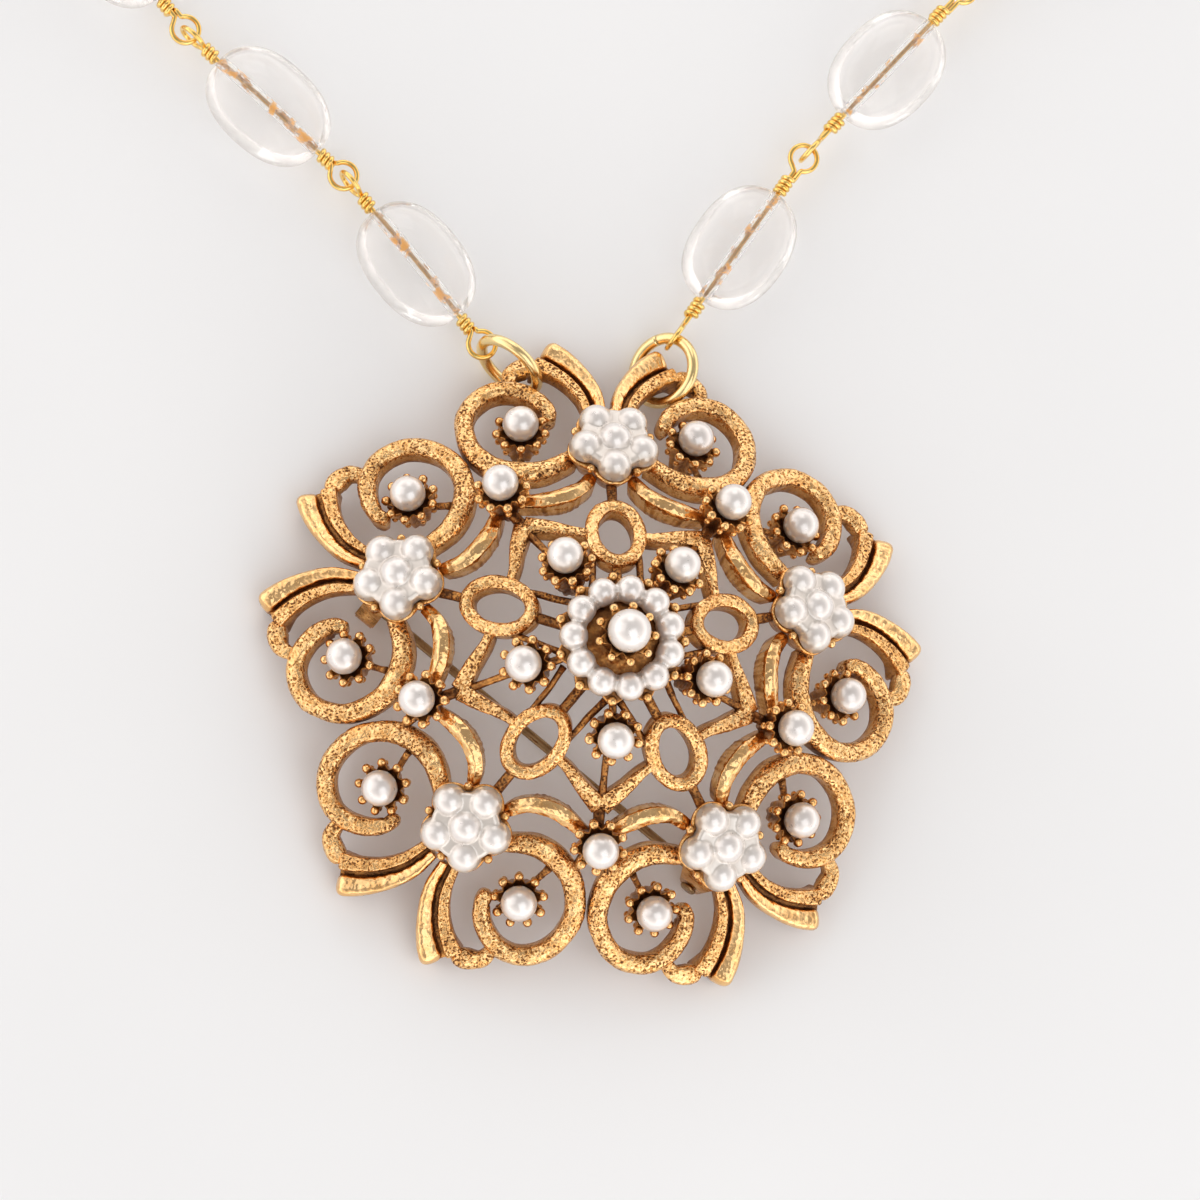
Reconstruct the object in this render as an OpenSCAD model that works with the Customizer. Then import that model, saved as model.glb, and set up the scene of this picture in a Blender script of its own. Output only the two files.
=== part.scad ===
// Brooch necklace: a domed, pierced five-fold brooch set with pearls, hung from a chain of clear beads.
// It lies on its back on a flat surface, which is the plane z = 0. The chain runs towards +Y.

/* [Brooch dome] */
// Height of the brooch's upper surface over its middle
dome_height = 17.45; // [14:0.05:20]
// Fall of the dome for each millimetre outwards, away from the middle
dome_slope = 0.57; // [0.4:0.01:0.62]
// Radius over which the top of the dome is rounded off
dome_round = 3.5; // [1:0.5:6]
// Depth of the cast bands, from their upper surface to the hollow back
band_depth = 2.1; // [1.6:0.1:2.6]

/* [Brooch ornament] */
// Number of flowers, and of sectors round the brooch
sectors = 5; // [5:1:5]
// Distance of a pearl flower from the middle of the brooch
flower_radius = 18.9; // [18:0.1:20]
// Height of the middle of the flat bed that a pearl flower lies on
flower_bed_height = 8.9; // [8:0.1:10]
// Angle that a pearl flower leans outwards
flower_lean = 24; // [18:1:28]
// Distance of an eyelet's middle from the middle of the brooch
eyelet_radius = 10.55; // [10:0.05:11]
// Half the width of an eyelet's wall line, across the flower axis
eyelet_half_width = 2.15; // [1.9:0.05:2.4]
// Half the length of an eyelet's wall line, along the flower axis
eyelet_half_length = 2.7; // [2.4:0.05:3]
// Width of a scroll band at its widest
scroll_width = 1.65; // [1.2:0.05:2]

/* [Pearls] */
// Radius of each single pearl
pearl_radius = 1.57; // [1.4:0.01:1.7]
// Radius of the pearl in the middle
centre_pearl_radius = 1.86; // [1.6:0.01:2]
// Number of small pearls in the ring round the middle
seed_count = 11; // [11:1:11]
// Radius of one small pearl of that ring
seed_radius = 1.24; // [1.1:0.01:1.28]
// Radius of the ring that their middles lie on
seed_ring_radius = 4.22; // [4.1:0.02:4.3]
// Number of ribs, each with a bead on top, round a pearl's cup
cup_ribs = 9; // [7:1:11]
// Radius of a flower's petal
petal_radius = 1.47; // [1.3:0.01:1.52]
// Distance of a petal's middle from the flower's middle
petal_distance = 2.56; // [2.5:0.01:2.7]

/* [Chain] */
// Length of a clear bead, along its hole
bead_length = 11.8; // [11:0.1:11.8]
// Width of a clear bead
bead_width = 8.8; // [7:0.1:9.5]
// Thickness of a clear bead
bead_thickness = 5.6; // [5:0.1:7]
// Radius of the hole along a bead
bead_hole_radius = 0.5; // [0.4:0.05:0.8]
// Radius of the wire that holds a bead
wire_radius = 0.23; // [0.2:0.01:0.23]
// Radius of a wire loop, to the middle of the wire
loop_radius = 1.2; // [1.1:0.01:1.2]
// Number of turns that the wire is wrapped next to a bead
wrap_turns = 3; // [2:1:4]
// Beads on the left side of the necklace
left_beads = 11; // [10:1:12]
// Beads on the right side of the necklace
right_beads = 10; // [9:1:11]
// Distance of the clasp from the middle of the brooch, straight up the chain
clasp_distance = 199; // [190:1:205]

/* [Rings, clasp and pin] */
// Radius of a jump ring on the brooch, to the middle of its wire
jump_ring_radius = 2.95; // [2.8:0.05:3.2]
// Radius of a jump ring's wire
jump_wire_radius = 0.5; // [0.4:0.05:0.55]
// Radius of the wire of the clasp
clasp_wire_radius = 0.5; // [0.4:0.05:0.55]
// Distance of the pin's line from the middle of the brooch
pin_offset = 7.5; // [6.5:0.1:8]
// Height of the pin's middle over the surface
pin_height = 2; // [1.9:0.1:2.4]
// Radius of the pin's wire
pin_radius = 0.4; // [0.35:0.05:0.5]

/* [Hidden] */

sector_turn = 360 / sectors;
gap = 0.1;

// Plain vector helpers
function unit(v) = v / norm(v);
function plan_radius(p) = norm([p.x, p.y]);
function turned(p, angle) = [p.x * cos(angle) - p.y * sin(angle), p.x * sin(angle) + p.y * cos(angle)];
function heading(angle) = [cos(angle), sin(angle)];

// The dome: its height, its lean and its normal over a point of the plan
function dome(r) = dome_height - dome_slope * (sqrt(r * r + dome_round * dome_round) - dome_round);
function fall(r) = dome_slope * r / sqrt(r * r + dome_round * dome_round);
function lean(r) = atan(fall(r));
function dome_normal(p) = unit([p.x / plan_radius(p) * fall(plan_radius(p)),
    p.y / plan_radius(p) * fall(plan_radius(p)), 1]);
function on_dome(p, lift) = [p.x, p.y, dome(plan_radius(p)) + lift];

// Everything below a height, to be taken away
module all_below(height) {
    reach = 50;
    translate([-reach, -reach, height - reach]) cube([2 * reach, 2 * reach, reach]);
}

// A solid skinned over a list of rings, each a list of points in the same order
module skin(rings, closed = false) {
    count = len(rings);
    m = len(rings[0]);
    last = closed ? count - 1 : count - 2;
    sides = [
        for (i = [0 : last])
            for (j = [0 : m - 1])
                let (next = (i + 1) % count, k = (j + 1) % m)
                    each [[i * m + j, next * m + k, i * m + k], [i * m + j, next * m + j, next * m + k]]
    ];
    caps = closed ? [] : [[for (j = [0 : m - 1]) j], [for (j = [m - 1 : -1 : 0]) (count - 1) * m + j]];
    polyhedron([for (ring = rings) each ring], concat(sides, caps), convexity = 8);
}

// Rings of a band that follows the dome. path rows are [x, y, width, depth, lift].
// section(width, depth) rows are [across, over], across being positive on the band's left.
function band_rings(path, section_of, closed = false) = [
    for (i = [0 : len(path) - 1])
        let (
            row = path[i],
            before = closed ? path[(i + len(path) - 1) % len(path)] : path[max(i - 1, 0)],
            after = closed ? path[(i + 1) % len(path)] : path[min(i + 1, len(path) - 1)],
            here = on_dome(row, row[4]),
            along = unit(on_dome(after, after[4]) - on_dome(before, before[4])),
            over = unit(dome_normal(row) - along * (dome_normal(row) * along)),
            across = cross(over, along)
        )
        [for (s = section_of(row[2], row[3])) here + across * s[0] + over * s[1]]
];

// Cross-sections of the bands, from the left side over the top to the right side
ridge_fall = 0.28;
function ridged(w, d) = [
    [w / 2, -d],
    [w / 2, -ridge_fall * w],
    [0, 0],
    [-w / 2, -ridge_fall * w],
    [-w / 2, -d]
];
shoulder = [0.42, 0.6];
function rounded(w, d) = [
    [w / 2, -d],
    [w / 2, -shoulder[1]],
    [w / 2 - shoulder[0], -0.04],
    [shoulder[0] - w / 2, -0.04],
    [-w / 2, -shoulder[1]],
    [-w / 2, -d]
];
function plain(w, d) = [[w / 2, -d], [w / 2, 0], [-w / 2, 0], [-w / 2, -d]];

// Everything is drawn round the middle of the brooch, then moved so that the origin is under the middle
// of the whole necklace.
module placed() {
    translate([origin_shift.x, origin_shift.y, 0]) children();
}
module each_sector() {
    for (k = [0 : sectors - 1]) rotate([0, 0, -sector_turn * k]) children();
}
module both_sides() {
    children();
    mirror([1, 0, 0]) children();
}

// Moves a child so that its z axis stands on the dome over the plan point at this radius and angle from
// the flower axis, with its origin at the height given.
module leaning(radius, angle, height) {
    rotate([0, 0, 90 - angle]) translate([radius, 0, height]) rotate([0, lean(radius), 0]) children();
}

// Scroll: a band that curls round the scroll pearl. Columns: turn, distance from the curl's middle,
// share of the full width, lift over the dome.
scroll_middle = [8.3, 20.6];
scroll_table = [
    [206, 5.55, 0.9, -0.5],
    [236, 4.65, 1.15, -0.1],
    [266, 4.3, 1.25, 0],
    [298, 4.3, 1.15, 0],
    [331, 4.4, 1.05, 0.1],
    [360, 4.35, 1, 0.1],
    [387, 4.3, 1, 0],
    [417, 4.15, 1, 0],
    [446, 3.95, 1, 0],
    [477, 3.75, 0.95, -0.1],
    [506, 3.6, 0.85, -0.4],
    [530, 3.05, 0.7, -1.0]
];
function scroll_path() = [
    for (row = scroll_table)
        let (p = scroll_middle + row[1] * heading(row[0]))
            [p.x, p.y, scroll_width * row[2], band_depth, row[3]]
];
module scroll() {
    skin(band_rings(scroll_path(), function (w, d) rounded(w, d)));
}

// Ribbon: a polished band and a textured band with a groove between them.
// Columns: x and y of the groove, polished width, groove width, textured width, lift, depth.
ribbon_table = [
    [1.15, 22.0, 0.85, 0.3, 0.7, -0.3, 1.7],
    [1.75, 24.2, 1.15, 0.4, 0.9, 0, 1.7],
    [2.95, 25.95, 1.4, 0.4, 1.1, 0.05, 1.7],
    [4.5, 27.25, 1.75, 0.4, 1.35, 0.1, 1.8],
    [6.2, 28.15, 2.05, 0.3, 1.6, 0.1, 3.0]
];
groove_depth = 1.0;
function ribbon_section(polished, groove, textured, depth) = [
    [groove / 2 + polished, -depth],
    [groove / 2 + polished, -0.5],
    [groove / 2 + polished * 0.45, 0],
    [groove / 2, -0.35],
    [0, -groove_depth],
    [-groove / 2, -0.3],
    [-groove / 2 - textured, -0.3],
    [-groove / 2 - textured, -depth]
];
module ribbon() {
    skin(band_rings([for (row = ribbon_table) [row.x, row.y, [row[2], row[3], row[4]], row[6], row[5]]],
        function (w, d) ribbon_section(w[0], w[1], w[2], d)));
}

// Hook at the end of the textured band, bent over to the scroll. Columns: x, y, width, depth, lift.
hook_path = [
    [5.9, 27.0, 1.4, 1.2, -0.5],
    [7.3, 26.85, 1.8, 1.5, -0.25],
    [8.4, 26.0, 1.5, 1.4, -0.4],
    [8.6, 24.8, 1.1, 1.3, -0.6]
];

// Leaf: an arched, polished bar from the flower to the junction cup. Columns: x, y, width, depth, lift.
leaf_path = [
    [1.8, 16.1, 1.1, 1.9, -0.4],
    [2.9, 14.75, 1.4, 2.1, 0.2],
    [4.6, 13.85, 1.5, 2.3, 0.4],
    [6.4, 13.4, 1.45, 2.1, 0.2],
    [8.6, 13.2, 1.1, 1.9, -0.4]
];

// Chevron: from one eyelet out to the corner under the junction cup. Columns: x, y, width, depth, lift.
// The corner lies on the junction axis, half a sector from the flower axis.
corner_radius = 13.1;
corner = corner_radius * [sin(sector_turn / 2), cos(sector_turn / 2)];
chevron_path = [
    [2.2, 10.35, 0.8, 1.6, -0.2],
    [3.6, 10.4, 0.95, 1.7, -0.05],
    [5.6, 10.75, 1.3, 1.8, 0],
    [corner.x + 0.12, corner.y + 0.35, 1.7, 1.8, 0]
];

// Eyelet: an oval ring. Its wall has this width and depth.
eyelet_wall = [1.2, 1.9];
eyelet_sides = 12;
eyelet_path = [
    for (i = [0 : eyelet_sides - 1])
        let (a = 360 * i / eyelet_sides)
            [eyelet_half_width * sin(a), eyelet_radius - eyelet_half_length * cos(a),
                eyelet_wall[0], eyelet_wall[1], 0.1]
];

// Fluted cup: rings of a body with ribs. Columns: height from the bead ring, radius over a rib, and
// radius between two ribs.
function fluted_rings(table, ribs) = [
    for (row = table)
        [for (k = [0 : 2 * ribs - 1])
            let (r = (k % 2 == 0) ? row[1] : row[2])
                [r * cos(180 * k / ribs), r * sin(180 * k / ribs), row[0]]]
];
pearl_over_beads = 1.0;
cup_floor = pearl_over_beads - pearl_radius - gap;
function cup_table(height) = [
    [-height, 1.25, 1.05],
    [-1.1, 2.0, 1.5],
    [0, 2.6, 2.05],
    [cup_floor, 1.0, 1.0]
];
cup_height = 3.1;
scroll_cup_height = 2.9;

// Pearls on cups. Columns: distance from the middle, angle from the flower axis, height of the pearl.
junction_place = [17.3, sector_turn / 2, 12.4];
inner_place = [8.65, sector_turn / 2, 17.6];
scroll_place = [22.1, 20.5, 6.4];
module cup(place, height) {
    leaning(place[0], place[1], place[2])
        translate([0, 0, -pearl_over_beads])
            skin(fluted_rings(cup_table(height), cup_ribs));
}
function over_dome(place, back) =
    let (
        n = [sin(lean(place[0])), cos(lean(place[0]))],
        r = place[0] - back * n[0]
    )
    [r * sin(place[1]), r * cos(place[1]), place[2] - back * n[1]];

// A thin, square bar between two points of the space: the hull of its two end squares
module bar(from, to, thickness) {
    along = unit(to - from);
    across = unit(cross(along, [0, 0, 1]));
    over = cross(across, along);
    h = thickness / 2;
    hull() skin([for (p = [from, to])
        [for (c = [[-h, -h], [-h, h], [h, h], [h, -h]]) p + across * c[0] + over * c[1]]]);
}

// Flower bed: a flat, five-lobed plate that leans outwards. It is drawn with the petal that points to the
// middle of the brooch at 180 degrees. Its foot is smaller than its top, by the share given.
petals = 5;
petal_turn = 360 / petals;
bed_depth = 2.4;
bed_foot_share = 0.75;
bed_waist_radius = 3.15;
bed_lobe_rise = 0.95;
bed_lobe_steps = 4;
bed_outline = [
    for (k = [0 : petals - 1])
        for (j = [0 : bed_lobe_steps - 1])
            let (
                a = 180 + petal_turn * (k - 0.5 + j / bed_lobe_steps),
                r = bed_waist_radius + bed_lobe_rise * sin(180 * j / bed_lobe_steps)
            )
            r * heading(a)
];
module on_flower() {
    rotate([0, 0, 90])
        translate([flower_radius, 0, flower_bed_height])
            rotate([0, flower_lean, 0]) children();
}
module flower_bed() {
    on_flower() skin([
        for (row = [[-bed_depth, bed_foot_share], [0, 1]])
            [for (p = bed_outline) [p.x * row[1], p.y * row[1], row[0]]]
    ]);
}

// Middle of the brooch: a scalloped cup for the ring of small pearls, and a fluted cup on top of it
seed_bed_height = 18.1;
seed_turn = 84;
centre_pearl_height = 22;
scallop_table = [
    [14.4, 3.7, 3.4],
    [16.4, 4.5, 4.0],
    [17.7, 5.6, 4.9],
    [seed_bed_height, 5.6, 4.9]
];
centre_cup_table = [
    [seed_bed_height - 0.5, 1.6, 1.4],
    [19.6, 1.9, 1.5],
    [21.1, 2.75, 2.05],
    [centre_pearl_height - centre_pearl_radius - gap, 1.2, 1.2]
];
module middle() {
    rotate([0, 0, seed_turn + 180 / seed_count]) skin(fluted_rings(scallop_table, seed_count));
    skin(fluted_rings(centre_cup_table, cup_ribs));
}

// Half of one sector, to the right of its flower axis
module half_sector() {
    scroll();
    ribbon();
    skin(band_rings(hook_path, function (w, d) plain(w, d)));
    skin(band_rings(leaf_path, function (w, d) ridged(w, d)));
    skin(band_rings(chevron_path, function (w, d) plain(w, d)));
    cup(scroll_place, scroll_cup_height);
    // Bar from the scroll cup down to the scroll
    cup_base = over_dome(scroll_place, 2.4);
    bar(cup_base, on_dome([7.7, 16.9], -0.9), 0.6);
    // Bar from the scroll to the junction cup
    bar(on_dome([9.6, 16.6], -0.9), over_dome(junction_place, 3.2), 0.8);
    // Bar from the eyelet's side to the middle
    bar(on_dome([1.9, 8.6], -0.9), on_dome([2.2, 4.2], -1.2), 0.6);
}
module whole_sector() {
    both_sides() half_sector();
    flower_bed();
    skin(band_rings(eyelet_path, function (w, d) ridged(w, d), true), true);
    cup(junction_place, cup_height);
    cup(inner_place, cup_height + 0.4);
    // Stub between the flower bed and the eyelet, and bar from the eyelet to the middle
    bar([0, 15.8, dome(15.8) - 1], [0, 12.8, dome(12.8) - 0.9], 0.9);
    bar([0, 8, dome(8) - 0.9], [0, 3.6, 15.2], 0.9);
    // Bars that carry the inner and the junction cup, in line on the junction axis
    bar(on_dome(corner, -0.9), over_dome(inner_place, 3.3), 0.7);
    bar(on_dome(corner, -0.9), over_dome(junction_place, 3.2), 1.0);
    bar(over_dome(inner_place, 3.2), over_dome([3.6, sector_turn / 2, 15.4], 0), 0.8);
}

// Pin: it lies across the hollow back, at right angles to the axis of flower 4, between the beds of
// flowers 3 and 5. Its parts are drawn with that flower's axis along +Y.
pin_sector = 3;
pin_hinge_x = -18.3;
pin_catch_x = 18.0;
pin_tip_x = 20.2;
pin_eye_radius = 1.0;
pin_eye_thickness = 1.0;
rivet_radius = 0.4;
rivet_head = [0.75, 0.3];
cheek_thickness = 0.7;
cheek_gap = 0.2;
cheek_place = (pin_eye_thickness + cheek_thickness) / 2 + cheek_gap;
bracket_top = 7.3 - pin_height;
catch_radius = 1.75;
catch_length = 2;
slot_half_width = pin_radius + 0.12;
module pin_frame() {
    rotate([0, 0, -sector_turn * pin_sector]) translate([0, pin_offset, pin_height]) children();
}
module cheek() {
    rotate([90, 0, 0])
        linear_extrude(cheek_thickness, center = true)
            difference() {
                polygon(concat([[1.9, bracket_top], [-1.9, bracket_top]],
                    [for (a = [180 : 30 : 360]) 1.1 * heading(a)]));
                circle(r = rivet_radius + 0.06, $fn = 12);
            }
}
module pin_hardware() {
    translate([pin_hinge_x, 0, 0])
        for (s = [-1, 1]) translate([0, s * cheek_place, 0]) cheek();
    // Catch: a round block with a slot, open towards the back, that the pin drops out of
    translate([pin_catch_x, 0, 0]) difference() {
        union() {
            rotate([0, 90, 0]) cylinder(r = catch_radius, h = catch_length, center = true, $fn = 12);
            translate([-catch_length / 2, -1.2, 0.4]) cube([catch_length, 2.4, bracket_top - 0.4]);
        }
        translate([-catch_length, -slot_half_width, -3])
            cube([2 * catch_length, 2 * slot_half_width, 3 + slot_half_width]);
    }
}

module brooch_frame() {
    placed() color("goldenrod") difference() {
        union() {
            each_sector() whole_sector();
            middle();
            pin_frame() pin_hardware();
        }
        all_below(0);
    }
}

module pin_rivet() {
    outer = cheek_place + cheek_thickness / 2 + gap;
    placed() color("darkgoldenrod") pin_frame() translate([pin_hinge_x, 0, 0]) rotate([90, 0, 0]) {
        cylinder(r = rivet_radius, h = 2 * outer + rivet_head[1], center = true, $fn = 48);
        for (s = [-1, 1])
            translate([0, 0, s * (outer + rivet_head[1] / 2)])
                cylinder(r = rivet_head[0], h = rivet_head[1], center = true, $fn = 48);
    }
}

module pin_stem() {
    placed() color("darkgoldenrod") pin_frame() difference() {
        union() {
            translate([pin_hinge_x, 0, 0])
                rotate([90, 0, 0])
                    cylinder(r = pin_eye_radius, h = pin_eye_thickness, center = true, $fn = 48);
            translate([pin_hinge_x + pin_eye_radius * 0.75, 0, 0])
                rotate([0, 90, 0])
                    cylinder(r = pin_radius, h = pin_tip_x - 2 - pin_hinge_x, $fn = 32);
            translate([pin_tip_x - 1.3, 0, 0])
                rotate([0, 90, 0])
                    cylinder(r1 = pin_radius, r2 = 0.08, h = 2.4, $fn = 32);
        }
        translate([pin_hinge_x, 0, 0])
            rotate([90, 0, 0])
                cylinder(r = rivet_radius + 0.08, h = 4, center = true, $fn = 48);
    }
}

// Pearls
module pearl(place, radius) {
    leaning(place[0], place[1], place[2]) sphere(r = radius, $fn = 48);
}
module centre_pearl() {
    placed() color("ivory") translate([0, 0, centre_pearl_height])
        sphere(r = centre_pearl_radius, $fn = 64);
}
module inner_pearl(i) {
    placed() color("ivory") rotate([0, 0, -sector_turn * (i - 1)]) pearl(inner_place, pearl_radius);
}
module junction_pearl(i) {
    placed() color("ivory") rotate([0, 0, -sector_turn * (i - 1)]) pearl(junction_place, pearl_radius);
}
module scroll_pearls() {
    placed() color("ivory") each_sector() both_sides() pearl(scroll_place, pearl_radius);
}
seed_height = seed_bed_height + gap + 0.6;
seed_hole_radius = 3.05;
seed_backing = [seed_ring_radius + 0.3, 0.8];
module seed_pearl_ring() {
    placed() color("ivory") difference() {
        union() {
            for (k = [0 : seed_count - 1])
                rotate([0, 0, seed_turn + 360 * k / seed_count])
                    translate([seed_ring_radius, 0, seed_height])
                        sphere(r = seed_radius, $fn = 32);
            translate([0, 0, seed_bed_height + gap])
                cylinder(r = seed_backing[0], h = seed_backing[1], $fn = 64);
        }
        translate([0, 0, seed_bed_height - seed_radius])
            cylinder(r = seed_hole_radius, h = 4 * seed_radius, $fn = 64);
        all_below(seed_bed_height + gap);
    }
}
petal_height = 0.35 + gap;
flower_backing = [2.6, 0.9];
module pearl_flower(i) {
    placed() color("ivory") rotate([0, 0, -sector_turn * (i - 1)]) on_flower() difference() {
        union() {
            for (k = [0 : petals - 1])
                rotate([0, 0, 180 + petal_turn * k])
                    translate([petal_distance, 0, petal_height])
                        sphere(r = petal_radius, $fn = 32);
            translate([0, 0, petal_height + 0.35]) sphere(r = petal_radius, $fn = 32);
            translate([0, 0, gap]) cylinder(r = flower_backing[0], h = flower_backing[1], $fn = 48);
        }
        all_below(gap);
    }
}

// The two lines of beads. The first joints, where two loops meet, are as they lie in view.
chain_height = bead_thickness / 2;
left_seen = [[-10.63, 28], [-23.5, 42.1], [-38.1, 53.9]];
right_seen = [[5.82, 30.06], [17.1, 48.0], [30.9, 64.7]];
clasp_middle = [-5, clasp_distance];
left_end = clasp_middle + [-8.3, 0];
right_end = clasp_middle + [8.3, 0];

// The rest runs on in a plain curve to the clasp, with its joints at even distances along it
function curve(p, p_heading, q, q_heading, t) =
    let (
        reach = 0.4 * norm(q - p),
        b = p + reach * heading(p_heading),
        c = q - reach * heading(q_heading),
        s = 1 - t
    )
    s * s * s * p + 3 * s * s * t * b + 3 * s * t * t * c + t * t * t * q;
curve_steps = 160;
function curve_points(p, p_heading, q, q_heading) =
    [for (i = [0 : curve_steps]) curve(p, p_heading, q, q_heading, i / curve_steps)];
function lengths(points, i = 1, sum = 0, out = [0]) =
    i == len(points) ? out
    : let (next = sum + norm(points[i] - points[i - 1]))
        lengths(points, i + 1, next, concat(out, [next]));
function joints_along(points, count) =
    let (run = lengths(points), total = run[len(run) - 1])
    [for (k = [1 : count])
        let (
            want = total * k / count,
            i = min([for (j = [1 : len(run) - 1]) if (run[j] >= want - 0.000001) j]),
            share = (want - run[i - 1]) / (run[i] - run[i - 1])
        )
        points[i - 1] + share * (points[i] - points[i - 1])];
// Headings, in degrees, of the last bead in view on either side and of the chain at the clasp
left_headings = [142, 0];
right_headings = [50, 180];
function all_joints(seen, headings, end, count) =
    let (points = curve_points(seen[2], headings[0], end, headings[1]))
    concat(seen, joints_along(points, count - 2));
left_joints = all_joints(left_seen, left_headings, left_end, left_beads);
right_joints = all_joints(right_seen, right_headings, right_end, right_beads);

// At a joint two loops hang in each other, so each loop's middle stays this far short of it
loop_back = loop_radius - wire_radius - 0.5;
function bead_place(joints, i) =
    let (a = joints[i - 1], b = joints[i])
    [(a + b) / 2, atan2(b.y - a.y, b.x - a.x), norm(b - a)];
module along_chain(joints, i) {
    place = bead_place(joints, i);
    translate([place[0].x, place[0].y, chain_height]) rotate([0, 0, place[1]]) children();
}
module bead(joints, i) {
    placed() color([0.93, 0.94, 0.96, 0.5]) along_chain(joints, i) rotate([0, 90, 0]) difference() {
        scale([bead_thickness / 2, bead_width / 2, bead_length / 2]) sphere(r = 1, $fn = 64);
        cylinder(r = bead_hole_radius, h = bead_length + 2, center = true, $fn = 32);
    }
}
module torus(radius, wire) {
    rotate_extrude($fn = 40) translate([radius, 0]) circle(r = wire, $fn = 16);
}
wrap_step = 2 * wire_radius + 0.02;
// One wire: a core through the bead, wraps at both ends of it, and a loop at each end. One loop
// stands upright and the other lies flat, so that each hangs in its neighbour.
module bead_wire(joints, i, upright_first) {
    half = bead_place(joints, i)[2] / 2 - loop_back;
    core = half - loop_radius;
    along_chain(joints, i) {
        rotate([0, 90, 0]) cylinder(r = wire_radius, h = 2 * core + wire_radius, center = true, $fn = 24);
        translate([-half, 0, 0]) rotate([upright_first ? 90 : 0, 0, 0]) torus(loop_radius, wire_radius);
        translate([half, 0, 0]) rotate([upright_first ? 0 : 90, 0, 0]) torus(loop_radius, wire_radius);
        for (s = [-1, 1])
            for (k = [0 : wrap_turns - 1])
                translate([s * (bead_length / 2 + wire_radius + 0.05 + wrap_step * k), 0, 0])
                    rotate([0, 90, 0]) torus(2 * wire_radius - 0.02, wire_radius);
    }
}
module left_wires() {
    placed() color("gold") for (i = [1 : left_beads]) bead_wire(left_joints, i, false);
}
module right_wires() {
    placed() color("gold") for (i = [1 : right_beads]) bead_wire(right_joints, i, true);
}

// Jump rings, round the ends of the ribbons of flower 1. Each is given by its middle, and by the turn
// and the rise of the line that it stands square to. The left one is seen nearly on its edge.
module jump_ring(middle, turn, rise) {
    placed() color("khaki") translate(middle) rotate([0, 0, turn]) rotate([0, 90 - rise, 0])
        torus(jump_ring_radius, jump_wire_radius);
}
module jump_ring_left() {
    jump_ring([-8.52, 26.55, 3.4], -127.2, 12.8);
}
module jump_ring_right() {
    jump_ring([5.23, 27.44, 2.54], -4.9, -49.9);
}

// Clasp: a plain one-piece hook and the ring that it catches
clasp_height = chain_height - 0.1;
clasp_eye_radius = 1.35;
clasp_bend_radius = 1.5;
clasp_shank = 10.8;
clasp_tip = 2.6;
clasp_turn = -7.5;
clasp_eye_x = left_end.x + clasp_eye_radius - 0.35;
module clasp_hook() {
    w = clasp_wire_radius;
    placed() color("gold") translate([clasp_eye_x, left_end.y, clasp_height]) rotate([0, 0, clasp_turn]) {
        torus(clasp_eye_radius, w);
        translate([clasp_eye_radius, 0, 0]) rotate([0, 90, 0])
            cylinder(r = w, h = clasp_shank - clasp_eye_radius, $fn = 24);
        translate([clasp_shank, clasp_bend_radius, 0]) rotate([0, 0, -90])
            rotate_extrude(angle = 180, $fn = 48) translate([clasp_bend_radius, 0]) circle(r = w, $fn = 24);
        translate([clasp_shank - clasp_tip, 2 * clasp_bend_radius, 0]) {
            rotate([0, 90, 0]) cylinder(r = w, h = clasp_tip, $fn = 24);
            sphere(r = w, $fn = 24);
        }
    }
}
clasp_ring_radius = 2.3;
clasp_ring_wire = 0.45;
module clasp_ring() {
    placed() color("gold")
        translate([right_end.x - clasp_ring_radius + 0.3, right_end.y, clasp_ring_radius + clasp_ring_wire])
            rotate([90, 0, 0]) torus(clasp_ring_radius, clasp_ring_wire);
}

// The whole necklace's box in plan, and the shift that puts its middle over the origin
function bead_reach(joints, i) =
    let (a = bead_place(joints, i)[1])
    [norm([bead_length / 2 * cos(a), bead_width / 2 * sin(a)]),
        norm([bead_length / 2 * sin(a), bead_width / 2 * cos(a)])];
function bead_end(joints, i, way) = bead_place(joints, i)[0] + way * bead_reach(joints, i);
left_reach = min([for (i = [1 : left_beads]) bead_end(left_joints, i, -1).x]);
right_reach = max([for (i = [1 : right_beads]) bead_end(right_joints, i, 1).x]);
top_reach = max(
    max([for (i = [1 : left_beads]) bead_end(left_joints, i, 1).y]),
    max([for (i = [1 : right_beads]) bead_end(right_joints, i, 1).y])
);
// Outermost corner of a ribbon, from the groove's end
ribbon_tip = [ribbon_table[4][0] - 0.8, ribbon_table[4][1] + 1.85];
bottom_reach = min([for (k = [0 : sectors - 1]) for (s = [-1, 1])
    turned([s * ribbon_tip.x, ribbon_tip.y], -sector_turn * k).y]);
origin_shift = -[(left_reach + right_reach) / 2, (top_reach + bottom_reach) / 2];

brooch_frame();
pin_stem();
pin_rivet();
centre_pearl();
seed_pearl_ring();
scroll_pearls();
for (i = [1 : sectors]) pearl_flower(i);
for (i = [1 : sectors]) inner_pearl(i);
for (i = [1 : sectors]) junction_pearl(i);
jump_ring_left();
jump_ring_right();
left_wires();
right_wires();
clasp_hook();
clasp_ring();
for (i = [1 : left_beads]) bead(left_joints, i);
for (i = [1 : right_beads]) bead(right_joints, i);
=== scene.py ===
import math

import bmesh
import bpy
import numpy as np
from mathutils import Matrix, Vector


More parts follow.
